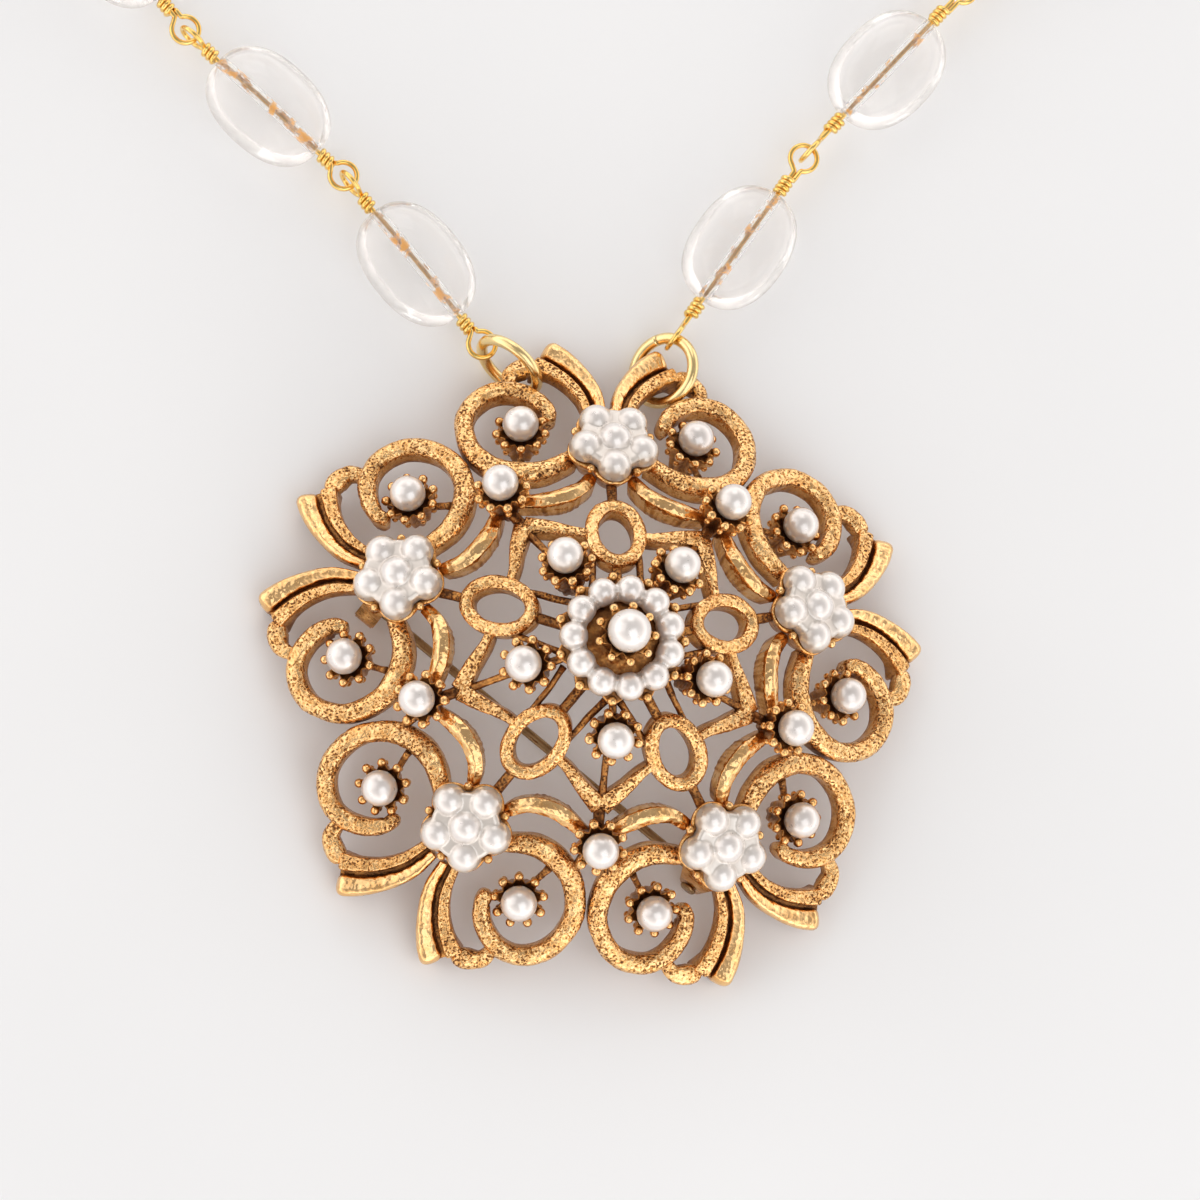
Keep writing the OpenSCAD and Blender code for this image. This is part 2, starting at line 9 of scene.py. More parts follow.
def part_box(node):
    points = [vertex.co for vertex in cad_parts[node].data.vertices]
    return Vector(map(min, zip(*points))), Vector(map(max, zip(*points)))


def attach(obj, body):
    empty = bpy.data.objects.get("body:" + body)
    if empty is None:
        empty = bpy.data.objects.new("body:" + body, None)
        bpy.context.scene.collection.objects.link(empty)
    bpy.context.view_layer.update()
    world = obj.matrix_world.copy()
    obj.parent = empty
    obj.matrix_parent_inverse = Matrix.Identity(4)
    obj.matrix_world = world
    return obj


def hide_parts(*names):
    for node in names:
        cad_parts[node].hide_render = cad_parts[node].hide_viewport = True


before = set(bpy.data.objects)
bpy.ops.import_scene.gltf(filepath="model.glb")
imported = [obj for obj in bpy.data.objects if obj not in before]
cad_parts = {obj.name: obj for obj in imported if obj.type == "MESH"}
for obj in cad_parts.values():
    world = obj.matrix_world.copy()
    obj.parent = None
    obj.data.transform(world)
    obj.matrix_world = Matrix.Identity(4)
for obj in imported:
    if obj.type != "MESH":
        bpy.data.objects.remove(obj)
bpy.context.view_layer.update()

# Lengths below are in millimetres, in the brooch's own frame: the origin lies on the surface under the
# middle of the brooch, +Y runs through flower 1 and +Z is up. row() turns them into the row frame's metres.
MM = 0.001
PEARL_LOW, PEARL_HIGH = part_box("centre_pearl")
MIDDLE = (np.array(PEARL_LOW) + np.array(PEARL_HIGH)) / 2
SHIFT = np.array([MIDDLE[0], MIDDLE[1], 0.0])
SECTORS = 5
SECTOR_TURN = 360 / SECTORS
GAP = 0.1


def row(points):
    return np.asarray(points, float) * MM + SHIFT


def unit(v):
    v = np.asarray(v, float)
    return v / np.linalg.norm(v, axis=-1, keepdims=True)


def turn_z(degrees):
    c, s = math.cos(math.radians(degrees)), math.sin(math.radians(degrees))
    return np.array([[c, -s, 0], [s, c, 0], [0, 0, 1]])


def turn_y(degrees):
    c, s = math.cos(math.radians(degrees)), math.sin(math.radians(degrees))
    return np.array([[c, 0, s], [0, 1, 0], [-s, 0, c]])


def turn_x(degrees):
    c, s = math.cos(math.radians(degrees)), math.sin(math.radians(degrees))
    return np.array([[1, 0, 0], [0, c, -s], [0, s, c]])


def full_turn(count):
    """Even turns once round, in radians."""
    return 2 * np.pi * np.arange(count) / count


def points_of(x, y, z):
    return np.stack(np.broadcast_arrays(x, y, z), -1)


def circle(turn, radius, height=0.0):
    """The point at each turn round the z axis."""
    return points_of(radius * np.cos(turn), radius * np.sin(turn), height)


def run_of(path):
    """How far along the path each of its points lies."""
    return np.append(0, np.cumsum(np.linalg.norm(np.diff(path, axis=0), axis=1)))


def at_runs(want, run, rows):
    """The rows between the given ones, which lie at run, that lie at want."""
    return np.stack([np.interp(want, run, column) for column in np.transpose(rows)], -1)


# Steady noise, the same in every run
def lattice(places, salt):
    """A number from 0 to 1 for each place of a whole-numbered lattice."""
    c = places.astype(np.int64).astype(np.uint32)
    h = c[..., 0] * np.uint32(73856093) ^ c[..., 1] * np.uint32(19349663) ^ c[..., 2] * np.uint32(83492791)
    h = h ^ np.uint32(salt * 2654435761 % 2**32)
    h = (h ^ (h >> np.uint32(13))) * np.uint32(1274126177)
    h = (h ^ (h >> np.uint32(16))) * np.uint32(2246822519)
    return (h ^ (h >> np.uint32(15))).astype(float) / 2**32


def waves(points, size, salt=1):
    """Smooth noise from -1 to 1 whose bumps are about size across."""
    p = np.asarray(points) / size
    base = np.floor(p)
    t = p - base
    t = t * t * (3 - 2 * t)
    total = 0
    for corner in np.ndindex(2, 2, 2):
        corner = np.array(corner)
        total = total + lattice(base + corner, salt) * np.prod(np.where(corner, t, 1 - t), axis=-1)
    return 2 * total - 1


def cells(points, size, salt=1):
    """Distance to the nearest of scattered points, one in each cell, as a share of the cell's size."""
    p = np.asarray(points) / size
    base = np.floor(p)
    nearest = np.full(len(p), 9.0)
    for step in np.ndindex(3, 3, 3):
        cell = base + np.array(step) - 1
        spot = cell + np.stack([lattice(cell, salt + k) for k in (11, 23, 37)], axis=-1)
        nearest = np.minimum(nearest, np.linalg.norm(p - spot, axis=-1))
    return nearest


# Closed shells
class Shell:
    """A closed shell: its points, its faces and, for each point, patina on the casting and painted shade on the
    pearls (how dark) and pitted (how rough).
    """

    def __init__(self, points, faces, patina_and_shade=0.0, pitted=0.0):
        self.points = np.asarray(points, float)
        self.faces = faces
        self.patina_and_shade = np.broadcast_to(np.asarray(patina_and_shade, float), len(self.points)).copy()
        self.pitted = np.broadcast_to(np.asarray(pitted, float), len(self.points)).copy()
        if self.volume() < 0:
            self.faces = [face[::-1] for face in faces]

    def volume(self):
        total = 0.0
        for n in {len(face) for face in self.faces}:
            f = np.array([face for face in self.faces if len(face) == n])
            for k in range(1, n - 1):
                a, b, c = (self.points[f[:, i]] for i in (0, k, k + 1))
                total += np.einsum("ij,ij->i", a, np.cross(b, c)).sum()
        return total / 6

    def moved(self, matrix, offset=(0, 0, 0)):
        return Shell(self.points @ np.asarray(matrix, float).T + offset, self.faces, self.patina_and_shade, self.pitted)


def round_shell(rings, closed=False, patina_and_shade=0.0, pitted=0.0, bulge=0.0):
    """A shell skinned over rings, an array [ring, point, xyz]. bulge rounds its two ends off."""
    rings = np.asarray(rings, float)
    n, m = rings.shape[:2]
    points = rings.reshape(-1, 3)
    patina_and_shade = np.broadcast_to(patina_and_shade, (n, m)).reshape(-1)
    pitted = np.broadcast_to(pitted, (n, m)).reshape(-1)
    faces = []
    for i in range(n if closed else n - 1):
        a, b = i * m, (i + 1) % n * m
        faces += [(a + j, a + (j + 1) % m, b + (j + 1) % m, b + j) for j in range(m)]
    if not closed:
        first, last = rings[0].mean(0), rings[-1].mean(0)
        ends = [first + bulge * unit(first - rings[1].mean(0)), last + bulge * unit(last - rings[-2].mean(0))]
        points = np.vstack([points, ends])
        patina_and_shade = np.append(patina_and_shade, [patina_and_shade[0], patina_and_shade[-1]])
        pitted = np.append(pitted, [pitted[0], pitted[-1]])
        faces += [((j + 1) % m, j, n * m) for j in range(m)]
        faces += [((n - 1) * m + j, (n - 1) * m + (j + 1) % m, n * m + 1) for j in range(m)]
    return Shell(points, faces, patina_and_shade, pitted)


def point_normals(points, faces):
    total = np.zeros_like(points)
    for n in {len(face) for face in faces}:
        f = np.array([face for face in faces if len(face) == n])
        a, b, c, d = (points[f[:, i]] for i in ((0, 1, 0, 2) if n == 3 else (0, 2, 1, 3)))
        across = np.cross(b - a, d - c)
        for k in range(n):
            np.add.at(total, f[:, k], across)
    return total / np.maximum(np.linalg.norm(total, axis=1, keepdims=True), 1e-12)


PIT_CELL, PIT_DEPTH = 0.62, 0.05
FINE_PIT_CELL = 0.55 * PIT_CELL


def cast(shell, wobble=0.05):
    """The shell with the surface of a casting: soft unevenness, and pits where it is pitted."""
    p = shell.points
    pit = np.clip(1 - cells(p, PIT_CELL, 5) / 0.42, 0, 1) ** 0.7
    fine = np.clip(1 - cells(p, FINE_PIT_CELL, 6) / 0.45, 0, 1)
    depth = wobble * waves(p, 1.5, 2) + 0.4 * wobble * waves(p, 0.6, 3)
    depth = depth - shell.pitted * (PIT_DEPTH * pit + 0.35 * PIT_DEPTH * fine)
    points = p + point_normals(p, shell.faces) * depth[:, None]
    points[:, 2] = np.maximum(points[:, 2], 0.0)
    dark = shell.patina_and_shade + shell.pitted * (0.2 * pit + 0.1 * fine)
    return Shell(points, shell.faces, np.clip(dark, 0, 1), shell.pitted)


def joined(name, shells, place=np.asarray):
    """A new object with all the shells in one mesh. place turns their points into the mesh's."""
    points, faces, start = [], [], 0
    for shell in shells:
        points.append(shell.points)
        faces += [tuple(int(i) + start for i in face) for face in shell.faces]
        start += len(shell.points)
    mesh = bpy.data.meshes.new(name)
    mesh.from_pydata(place(np.vstack(points)).tolist(), [], faces)
    obj = bpy.data.objects.new(name, mesh)
    bpy.context.scene.collection.objects.link(obj)
    return obj


def piece(name, shells, material, body="necklace", nodes=()):
    """One visible object from closed shells in the brooch's frame."""
    obj = joined(name, shells, row)
    mesh = obj.data
    for key in ("patina_and_shade", "pitted"):
        values = np.concatenate([getattr(shell, key) for shell in shells]).astype(np.float32)
        mesh.attributes.new(key, "FLOAT", "POINT").data.foreach_set("value", values)
    mesh.polygons.foreach_set("use_smooth", [True] * len(mesh.polygons))
    mesh.materials.append(material)
    mesh.update()
    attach(obj, body)
    if nodes:
        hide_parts(*nodes)
    return obj


# The dome that the casting follows
DOME_HEIGHT, DOME_SLOPE, DOME_ROUND = 17.45, 0.57, 3.5


def dome(r):
    return DOME_HEIGHT - DOME_SLOPE * (np.sqrt(r * r + DOME_ROUND**2) - DOME_ROUND)


def fall(r):
    return DOME_SLOPE * r / np.sqrt(r * r + DOME_ROUND**2)


def on_dome(p, lift=0.0):
    p = np.asarray(p, float)
    return points_of(p[..., 0], p[..., 1], dome(np.hypot(p[..., 0], p[..., 1])) + lift)


def dome_normal(p):
    r = np.maximum(np.hypot(p[..., 0], p[..., 1]), 1e-9)
    return unit(points_of(p[..., 0] / r * fall(r), p[..., 1] / r * fall(r), 1.0))


SPAN_STEPS = 24


def smooth_rows(rows, step, closed=False):
    """Rows on a smooth curve through the given ones, at even steps along the first two columns, and how far
    along the curve each of them lies."""
    rows = np.asarray(rows, float)
    count = len(rows)
    at = (lambda i: rows[i % count]) if closed else (lambda i: rows[min(max(i, 0), count - 1)])
    dense = []
    for i in range(count if closed else count - 1):
        a, b, c, d = at(i - 1), at(i), at(i + 1), at(i + 2)
        slope, square, cube = (c - a) / 2, a - 2.5 * b + 2 * c - d / 2, 1.5 * b - a / 2 - 1.5 * c + d / 2
        dense += [b + t * (slope + t * (square + t * cube)) for t in np.arange(SPAN_STEPS) / SPAN_STEPS]
    dense.append(at(0) if closed else rows[-1])
    dense = np.array(dense)
    run = run_of(dense[:, :2])
    want = np.linspace(0, run[-1], max(int(round(run[-1] / step)), 3) + 1)
    if closed:
        want = want[:-1]
    return at_runs(want, run, dense), want


def band(rows, section, step=0.16, closed=False, striated=0.0, bulge=0.12, tips=(0, 0)):
    """A band that follows the dome. rows: x, y, lift and then what section() takes, which gives, for each row,
    across (positive on the left), over (positive outwards), patina and pitted of the points round the band.
    tips are the lengths over which its first and its last end are rounded off."""
    path, run = smooth_rows(rows, step, closed)
    here = on_dome(path[:, :2], path[:, 2])
    if closed:
        along = unit(np.roll(here, -1, 0) - np.roll(here, 1, 0))
    else:
        along = unit(np.gradient(here, axis=0))
    normal = dome_normal(path)
    over = unit(normal - along * np.einsum("ij,ij->i", normal, along)[:, None])
    across = np.cross(over, along)
    a, o, patina_and_shade, pitted = section(*path[:, 3:].T)
    if striated:
        side = np.clip(-o / 1.2, 0, 1)
        lines = waves(points_of(run, 0, 0), 0.32, 7) + 0.6 * waves(points_of(run, 0, 0), 0.17, 8)
        a = a * (1 + striated * side * lines[:, None])
        patina_and_shade = np.clip(patina_and_shade + 0.55 * side * lines[:, None], 0, 1)
    if any(tips):
        full = np.ones(len(run))
        for length, left in zip(tips, (run, run[-1] - run)):
            if length:
                full = full * np.sqrt(1 - 0.96 * np.clip(1 - left / length, 0, 1) ** 2)
        full = full[:, None]
        line = (a.max(1) + a.min(1))[:, None] / 2
        low = o.min(1)[:, None]
        a = line + (a - line) * full
        o = low + (o - low) * (0.3 + 0.7 * full)
    rings = here[:, None] + across[:, None] * a[..., None] + over[:, None] * o[..., None]
    return round_shell(rings, closed, patina_and_shade, pitted, bulge)


# Share of the half width and share of the depth, from a wall's foot to its top
WALL = ((0.675, 1.0), (0.9, 0.86), (0.99, 0.55), (1.0, 0.25))


def profile(width, depth, top, wall_patina, pitted, shares=(1, 0.95, 0.86, 0.72, 0.54, 0.34, 0.12)):
    """Section of one band. top(share, half width) is the height of the upper surface, share from -1 to 1.
    wall_patina is the patina of a wall's top, middle and foot."""
    shares = np.append(shares, -np.array(shares[::-1]))
    half = width[:, None] / 2
    top_o = top(shares[None], half)
    edge = top_o[:, :1]
    wall_a = np.concatenate([half * out for out, _ in WALL], axis=1)
    wall_o = np.concatenate([edge + (-depth[:, None] - edge) * down for _, down in WALL], axis=1)
    a = np.concatenate([wall_a, half * shares, -wall_a[:, ::-1]], axis=1)
    o = np.concatenate([wall_o, top_o, wall_o[:, ::-1]], axis=1)
    high, middle, low = wall_patina
    patina_and_shade = np.concatenate([[low, low, middle, high], 0 * shares, [high, middle, low, low]])
    return a, o, patina_and_shade, np.concatenate([[0.2 * pitted] * 4, 0 * shares + pitted, [0.2 * pitted] * 4])


def crowned(power, fall_share, rim=0.0):
    """A rounded top for profile(), with a slight rim on either side."""
    return lambda share, half: (
        -2 * fall_share * half * np.abs(share) ** power + rim * (np.exp(-(((np.abs(share) - 0.66) / 0.2) ** 2)) - 1)
    )


# Tables of the ornament, as in the part's source
SCROLL_MIDDLE = np.array([8.3, 20.6])
SCROLL_WIDTH, SCROLL_DEPTH = 1.65, 2.1
SCROLL_TABLE = [  # turn, distance from the curl's middle, share of the full width, lift
    (206, 5.55, 0.9, -0.5),
    (236, 4.65, 1.15, -0.1),
    (266, 4.3, 1.25, 0),
    (298, 4.3, 1.15, 0),
    (331, 4.4, 1.05, 0.1),
    (360, 4.35, 1, 0.1),
    (387, 4.3, 1, 0),
    (417, 4.15, 1, 0),
    (446, 3.95, 1, 0),
    (477, 3.75, 0.95, -0.1),
    (506, 3.6, 0.85, -0.4),
    (530, 3.05, 0.7, -1.0),
]
RIBBON_TABLE = [  # groove x, y, lift, polished width, groove width, textured width, depth
    (1.15, 22.0, -0.3, 0.85, 0.3, 0.7, 1.7),
    (1.75, 24.2, 0, 1.15, 0.4, 0.9, 1.7),
    (2.95, 25.95, 0.05, 1.4, 0.4, 1.1, 1.7),
    (4.5, 27.25, 0.1, 1.75, 0.4, 1.35, 1.8),
    (6.2, 28.15, 0.1, 2.05, 0.3, 1.6, 3.0),
]
HOOK_PATH = [  # x, y, lift, width, depth, as in the leaf's, chevron's and eyelet's path
    (5.9, 27.0, -0.5, 1.4, 1.2),
    (7.3, 26.85, -0.25, 1.8, 1.5),
    (8.4, 26.0, -0.4, 1.5, 1.4),
    (8.6, 24.8, -0.6, 1.1, 1.3),
]
LEAF_PATH = [
    (1.8, 16.1, -0.4, 1.1, 1.9),
    (2.9, 14.75, 0.2, 1.4, 2.1),
    (4.6, 13.85, 0.4, 1.5, 2.3),
    (6.4, 13.4, 0.2, 1.45, 2.1),
    (8.6, 13.2, -0.4, 1.1, 1.9),
]
CORNER = 13.1 * np.array([math.sin(math.radians(36)), math.cos(math.radians(36))])
CHEVRON_PATH = [
    (2.2, 10.35, -0.2, 0.8, 1.6),
    (3.6, 10.4, -0.05, 0.95, 1.7),
    (5.6, 10.75, 0, 1.3, 1.8),
    (CORNER[0] + 0.12, CORNER[1] + 0.35, 0, 1.7, 1.8),
]
EYELET_RADIUS, EYELET_HALF_WIDTH, EYELET_HALF_LENGTH = 10.55, 2.15, 2.7
EYELET_PATH = [
    (EYELET_HALF_WIDTH * math.sin(a), EYELET_RADIUS - EYELET_HALF_LENGTH * math.cos(a), 0.1, 1.2, 1.9)
    for a in np.radians(np.arange(0, 360, 30))
]
GROOVE_DEPTH = 1.0


def section_of(marks, edge, width, depth):
    """A section from marks (share across the band, height, patina, pitted). edge is where share 0 lies and width
    runs on from it. The heights low and deep stand for the band's depth."""
    heights = {"low": -depth, "deep": -0.9 * depth}
    a = np.stack([edge + width * share for share, *_ in marks], 1)
    o = np.stack([heights[mark[1]] if mark[1] in heights else np.full_like(depth, mark[1]) for mark in marks], 1)
    return a, o, np.array([mark[2] for mark in marks]), np.array([mark[3] for mark in marks])


POLISHED_MARKS = [
    (0.82, "low", 1.0, 0.1),
    (0.96, "deep", 0.85, 0.1),
    (1.0, -1.2, 0.55, 0.05),
    (1.0, -0.72, 0.25, 0.0),
    (0.975, -0.44, 0.08, 0.0),
    (0.9, -0.2, 0.0, 0.0),
    (0.8, -0.05, 0.0, 0.0),
    (0.68, 0.02, 0.0, 0.0),
    (0.54, 0.0, 0.0, 0.0),
    (0.4, -0.08, 0.0, 0.0),
    (0.26, -0.19, 0.0, 0.0),
    (0.12, -0.32, 0.05, 0.0),
    (0.03, -0.48, 0.25, 0.0),
    (0.0, -0.72, 0.6, 0.0),
    (0.0, -1.2, 0.9, 0.0),
    (0.04, "deep", 1.0, 0.1),
    (0.14, "low", 1.0, 0.1),
]
TEXTURED_MARKS = [
    (0.1, "low", 1.0, 0.1),
    (0.02, "deep", 1.0, 0.1),
    (0.0, -1.1, 0.9, 0.1),
    (0.0, -0.62, 0.6, 0.2),
    (0.03, -0.38, 0.25, 0.5),
    (0.12, -0.22, 0.05, 0.9),
    (0.26, -0.2, 0.1, 1.0),
    (0.42, -0.24, 0.15, 1.0),
    (0.58, -0.25, 0.15, 1.0),
    (0.74, -0.21, 0.1, 1.0),
    (0.88, -0.22, 0.05, 0.9),
    (0.97, -0.36, 0.2, 0.5),
    (1.0, -0.65, 0.5, 0.3),
    (1.0, -1.15, 0.8, 0.2),
    (0.95, "deep", 1.0, 0.1),
    (0.82, "low", 1.0, 0.1),
]
FLOOR_MARKS = [
    (1.0, "low", 1.0, 0.2),
    (1.0, -GROOVE_DEPTH, 0.85, 0.3),
    (0.5, -GROOVE_DEPTH + 0.06, 0.75, 0.3),
    (0.0, -GROOVE_DEPTH, 0.85, 0.3),
    (0.0, "low", 1.0, 0.2),
]


def polished_section(polished, groove, textured, depth):
    return section_of(POLISHED_MARKS, groove / 2, polished, depth)


def textured_section(polished, groove, textured, depth):
    return section_of(TEXTURED_MARKS, -groove / 2, -textured, depth)


def floor_section(polished, groove, textured, depth):
    return section_of(FLOOR_MARKS, -groove / 2 - 0.4, groove + 0.8, depth)


def rounded_section(share, depth):
    return profile(SCROLL_WIDTH * share, depth, crowned(3.0, 0.3, 0.04), pitted=1.0, wall_patina=(0.35, 0.6, 0.95))


def flat_section(width, depth):
    return profile(width, depth, crowned(3.4, 0.22, 0.04), pitted=1.0, wall_patina=(0.4, 0.7, 1.0))


def leaf_section(width, depth):
    shares = [1, 0.95, 0.86, 0.72, 0.54, 0.34, 0.16, 0.05]
    return profile(width, depth, crowned(1.6, 0.26), pitted=0.05, shares=shares, wall_patina=(0.3, 0.5, 0.95))


def eyelet_section(width, depth):
    return profile(width, depth, crowned(2.3, 0.27), pitted=0.8, wall_patina=(0.4, 0.65, 0.95))


def ring_about(centre, radius, side, over, count):
    """A ring of points round centre, in the plane of side and over."""
    turn = full_turn(count)[:, None]
    return centre + radius * (np.cos(turn) * side + np.sin(turn) * over)


def bar(start, end, thickness):
    """A round strut, a little thicker at its ends."""
    start, end = np.asarray(start, float), np.asarray(end, float)
    along = unit(end - start)
    side = unit(np.cross(along, [0, 0, 1]))
    rings = []
    for t in np.linspace(0, 1, 9):
        radius = thickness / 2 * (1 + 0.25 * (2 * t - 1) ** 4)
        rings.append(ring_about(start + (end - start) * t, radius, side, np.cross(side, along), 12))
    shell = round_shell(rings, patina_and_shade=0.95, pitted=0.6)
    shell.points += 0.13 * waves(shell.points + [0, 0, 40], 1.9, 9)[:, None] * side
    return shell


def taken(bm):
    """The points and faces of a bmesh, which is then freed."""
    bm.verts.index_update()
    made = np.array([v.co for v in bm.verts]), [tuple(v.index for v in f.verts) for f in bm.faces]
    bm.free()
    return made


def ball(centre, radius, patina_and_shade=0.0, detail=2):
    bm = bmesh.new()
    bmesh.ops.create_icosphere(bm, subdivisions=detail, radius=radius)
    points, faces = taken(bm)
    return Shell(points + centre, faces, patina_and_shade)


def balls_round(turns, distance, height, *shape):
    """Balls in a circle round the z axis. shape is their radius, patina and detail."""
    return [ball(circle(turn, distance, height), *shape) for turn in turns]


def lobed(table, ribs, per_rib=8, sharp=0.8, steps=3):
    """A fluted, bowl-like body. table: height, radius over a rib, radius between two ribs, patina."""
    table = np.asarray(table, float)
    rows = [a + t * (b - a) for a, b in zip(table[:-1], table[1:]) for t in np.arange(steps) / steps]
    height, out, inside, dark = np.array(rows + [table[-1]]).T[..., None]
    turn = full_turn(ribs * per_rib)
    wave = (0.5 + 0.5 * np.cos(ribs * turn)) ** sharp
    rings = circle(turn, inside + (out - inside) * wave, height)
    return round_shell(rings, patina_and_shade=np.clip(dark + 0.5 * (1 - wave), 0, 1))


PEARL_RADIUS = 1.57
CENTRE_PEARL_RADIUS = 1.86
PEARL_OVER_BEADS = 1.0
CUP_RIBS = 9
JUNCTION_PLACE = (17.3, 36, 12.4)
INNER_PLACE = (8.65, 36, 17.6)
SCROLL_PLACE = (22.1, 20.5, 6.4)


def lean(r):
    return math.degrees(math.atan(fall(r)))


def leaning(place):
    """Matrix and offset that put a child's z axis on the dome over this place."""
    turn = turn_z(90 - place[1])
    return turn @ turn_y(lean(place[0])), turn @ np.array([place[0], 0, place[2]])


def over_dome(place, back):
    """The point this far back, square to the dome, from a place: distance from the middle, turn, height."""
    a, s = math.radians(lean(place[0])), math.radians(place[1])
    r = place[0] - back * math.sin(a)
    return np.array([r * math.sin(s), r * math.cos(s), place[2] - back * math.cos(a)])


def cup(place, height):
    """A pearl's cup: a fluted body, and a bead on each rib."""
    table = [
        (-height, 1.2, 1.0, 0.9),
        (-0.6 * height, 1.55, 1.15, 0.75),
        (-1.1, 1.95, 1.35, 0.5),
        (-0.5, 2.25, 1.5, 0.35),
        (-0.1, 2.35, 1.6, 0.3),
        (0.02, 2.1, 1.55, 0.2),
        (-0.25, 1.6, 1.4, 0.45),
        (PEARL_OVER_BEADS - PEARL_RADIUS - GAP, 0.9, 0.9, 0.6),
    ]
    matrix, offset = leaning(place)
    parts = [lobed(table, CUP_RIBS, steps=2)]
    parts += balls_round(full_turn(CUP_RIBS), 2.13, 0.05, 0.43, 0.12)
    parts += balls_round(full_turn(CUP_RIBS), 2.0, -0.95, 0.3, 0.35)
    return [part.moved(np.eye(3), (0, 0, -PEARL_OVER_BEADS)).moved(matrix, offset) for part in parts]


def copies(shells, both=True):
    """The shells in every sector, and mirrored too where both is true."""
    mirror = np.diag([-1.0, 1.0, 1.0])
    for k in range(SECTORS):
        for side in ([np.eye(3), mirror] if both else [np.eye(3)]):
            for shell in shells:
                yield shell.moved(turn_z(-SECTOR_TURN * k) @ side)


# Materials
def tree(name):
    material = bpy.data.materials.new(name)
    material.use_nodes = True
    return material, material.node_tree, material.node_tree.nodes["Principled BSDF"]


def put(made, inputs):
    """Links or sets a node's inputs."""
    for key, value in inputs.items():
        if isinstance(value, bpy.types.NodeSocket):
            made.id_data.links.new(value, made.inputs[key])
        else:
            made.inputs[key].default_value = value


def node(nt, kind, inputs=(), **settings):
    made = nt.nodes.new(kind)
    for key, value in settings.items():
        setattr(made, key, value)
    put(made, dict(inputs))
    return made


def set_all(shader, **values):
    """Links or sets a shader's inputs by their names, with _ for a space."""
    put(shader, {key.replace("_", " "): value for key, value in values.items()})


def coordinates(nt):
    return node(nt, "ShaderNodeTexCoord").outputs["Object"]


def attribute(nt, name):
    return node(nt, "ShaderNodeAttribute", attribute_name=name).outputs["Fac"]


def noise_of(nt, size, detail=3.0, roughness=0.55):
    inputs = {"Vector": coordinates(nt), "Scale": 1 / (size * MM), "Detail": detail, "Roughness": roughness}
    return node(nt, "ShaderNodeTexNoise", inputs).outputs["Fac"]


def ramp(nt, value, stops):
    made = node(nt, "ShaderNodeValToRGB", {"Fac": value})
    elements = made.color_ramp.elements
    while len(elements) < len(stops):
        elements.new(0.5)
    for element, (place, colour) in zip(elements, stops):
        element.position = place
        element.color = (*colour, 1)
    return made.outputs["Color"]


def calc(nt, operation, a, b=0.0, clamp=False):
    return node(nt, "ShaderNodeMath", {0: a, 1: b}, operation=operation, use_clamp=clamp).outputs[0]


def plus(nt, total, value, weight, clamp=False):
    """total + value * weight"""
    return calc(nt, "ADD", total, calc(nt, "MULTIPLY", value, weight), clamp)


def vector_calc(nt, operation, a, b):
    return node(nt, "ShaderNodeVectorMath", {0: a, 1: b}, operation=operation).outputs[0]


def spread(nt, value, low, high, to_low=0.0, to_high=1.0):
    """The value, with low to high stretched to to_low to to_high and held there."""
    inputs = {"Value": value, "From Min": low, "From Max": high, "To Min": to_low, "To Max": to_high}
    return node(nt, "ShaderNodeMapRange", inputs).outputs["Result"]


def mixed(nt, share, a, b):
    """The colour a, and more of b as share grows."""
    a, b = ((*colour, 1) if isinstance(colour, tuple) else colour for colour in (a, b))
    return node(nt, "ShaderNodeMix", {"Factor": share, 6: a, 7: b}, data_type="RGBA").outputs[2]


def bump(nt, height, strength, distance, normal=None):
    inputs = {"Height": height, "Strength": strength, "Distance": distance * MM}
    if normal is not None:
        inputs["Normal"] = normal
    return node(nt, "ShaderNodeBump", inputs).outputs["Normal"]


def pits_of(nt, size, wander, smallest, largest):
    """Round pits of uneven size: 1 at the bottom of a pit and 0 between the pits."""
    place, scale = coordinates(nt), 1 / (size * MM)
    shaken = node(nt, "ShaderNodeTexNoise", {"Vector": place, "Scale": scale}).outputs["Color"]
    shaken = vector_calc(nt, "SUBTRACT", shaken, (0.5,) * 3)
    place = vector_calc(nt, "ADD", place, vector_calc(nt, "MULTIPLY", shaken, (wander * MM,) * 3))
    spots = node(nt, "ShaderNodeTexVoronoi", {"Vector": place, "Scale": scale})
    own = node(nt, "ShaderNodeSeparateColor", {0: spots.outputs["Color"]}).outputs[0]
    radius = spread(nt, own, 0.0, 1.0, smallest, largest)
    return calc(nt, "SUBTRACT", 1.0, calc(nt, "DIVIDE", spots.outputs["Distance"], radius), True)


GOLD_STOPS = [  # from clean to darkest
    (0.0, (0.945, 0.608, 0.282)),
    (0.25, (0.845, 0.462, 0.165)),
    (0.5, (0.56, 0.255, 0.07)),
    (0.75, (0.27, 0.118, 0.04)),
    (1.0, (0.125, 0.058, 0.028)),
]


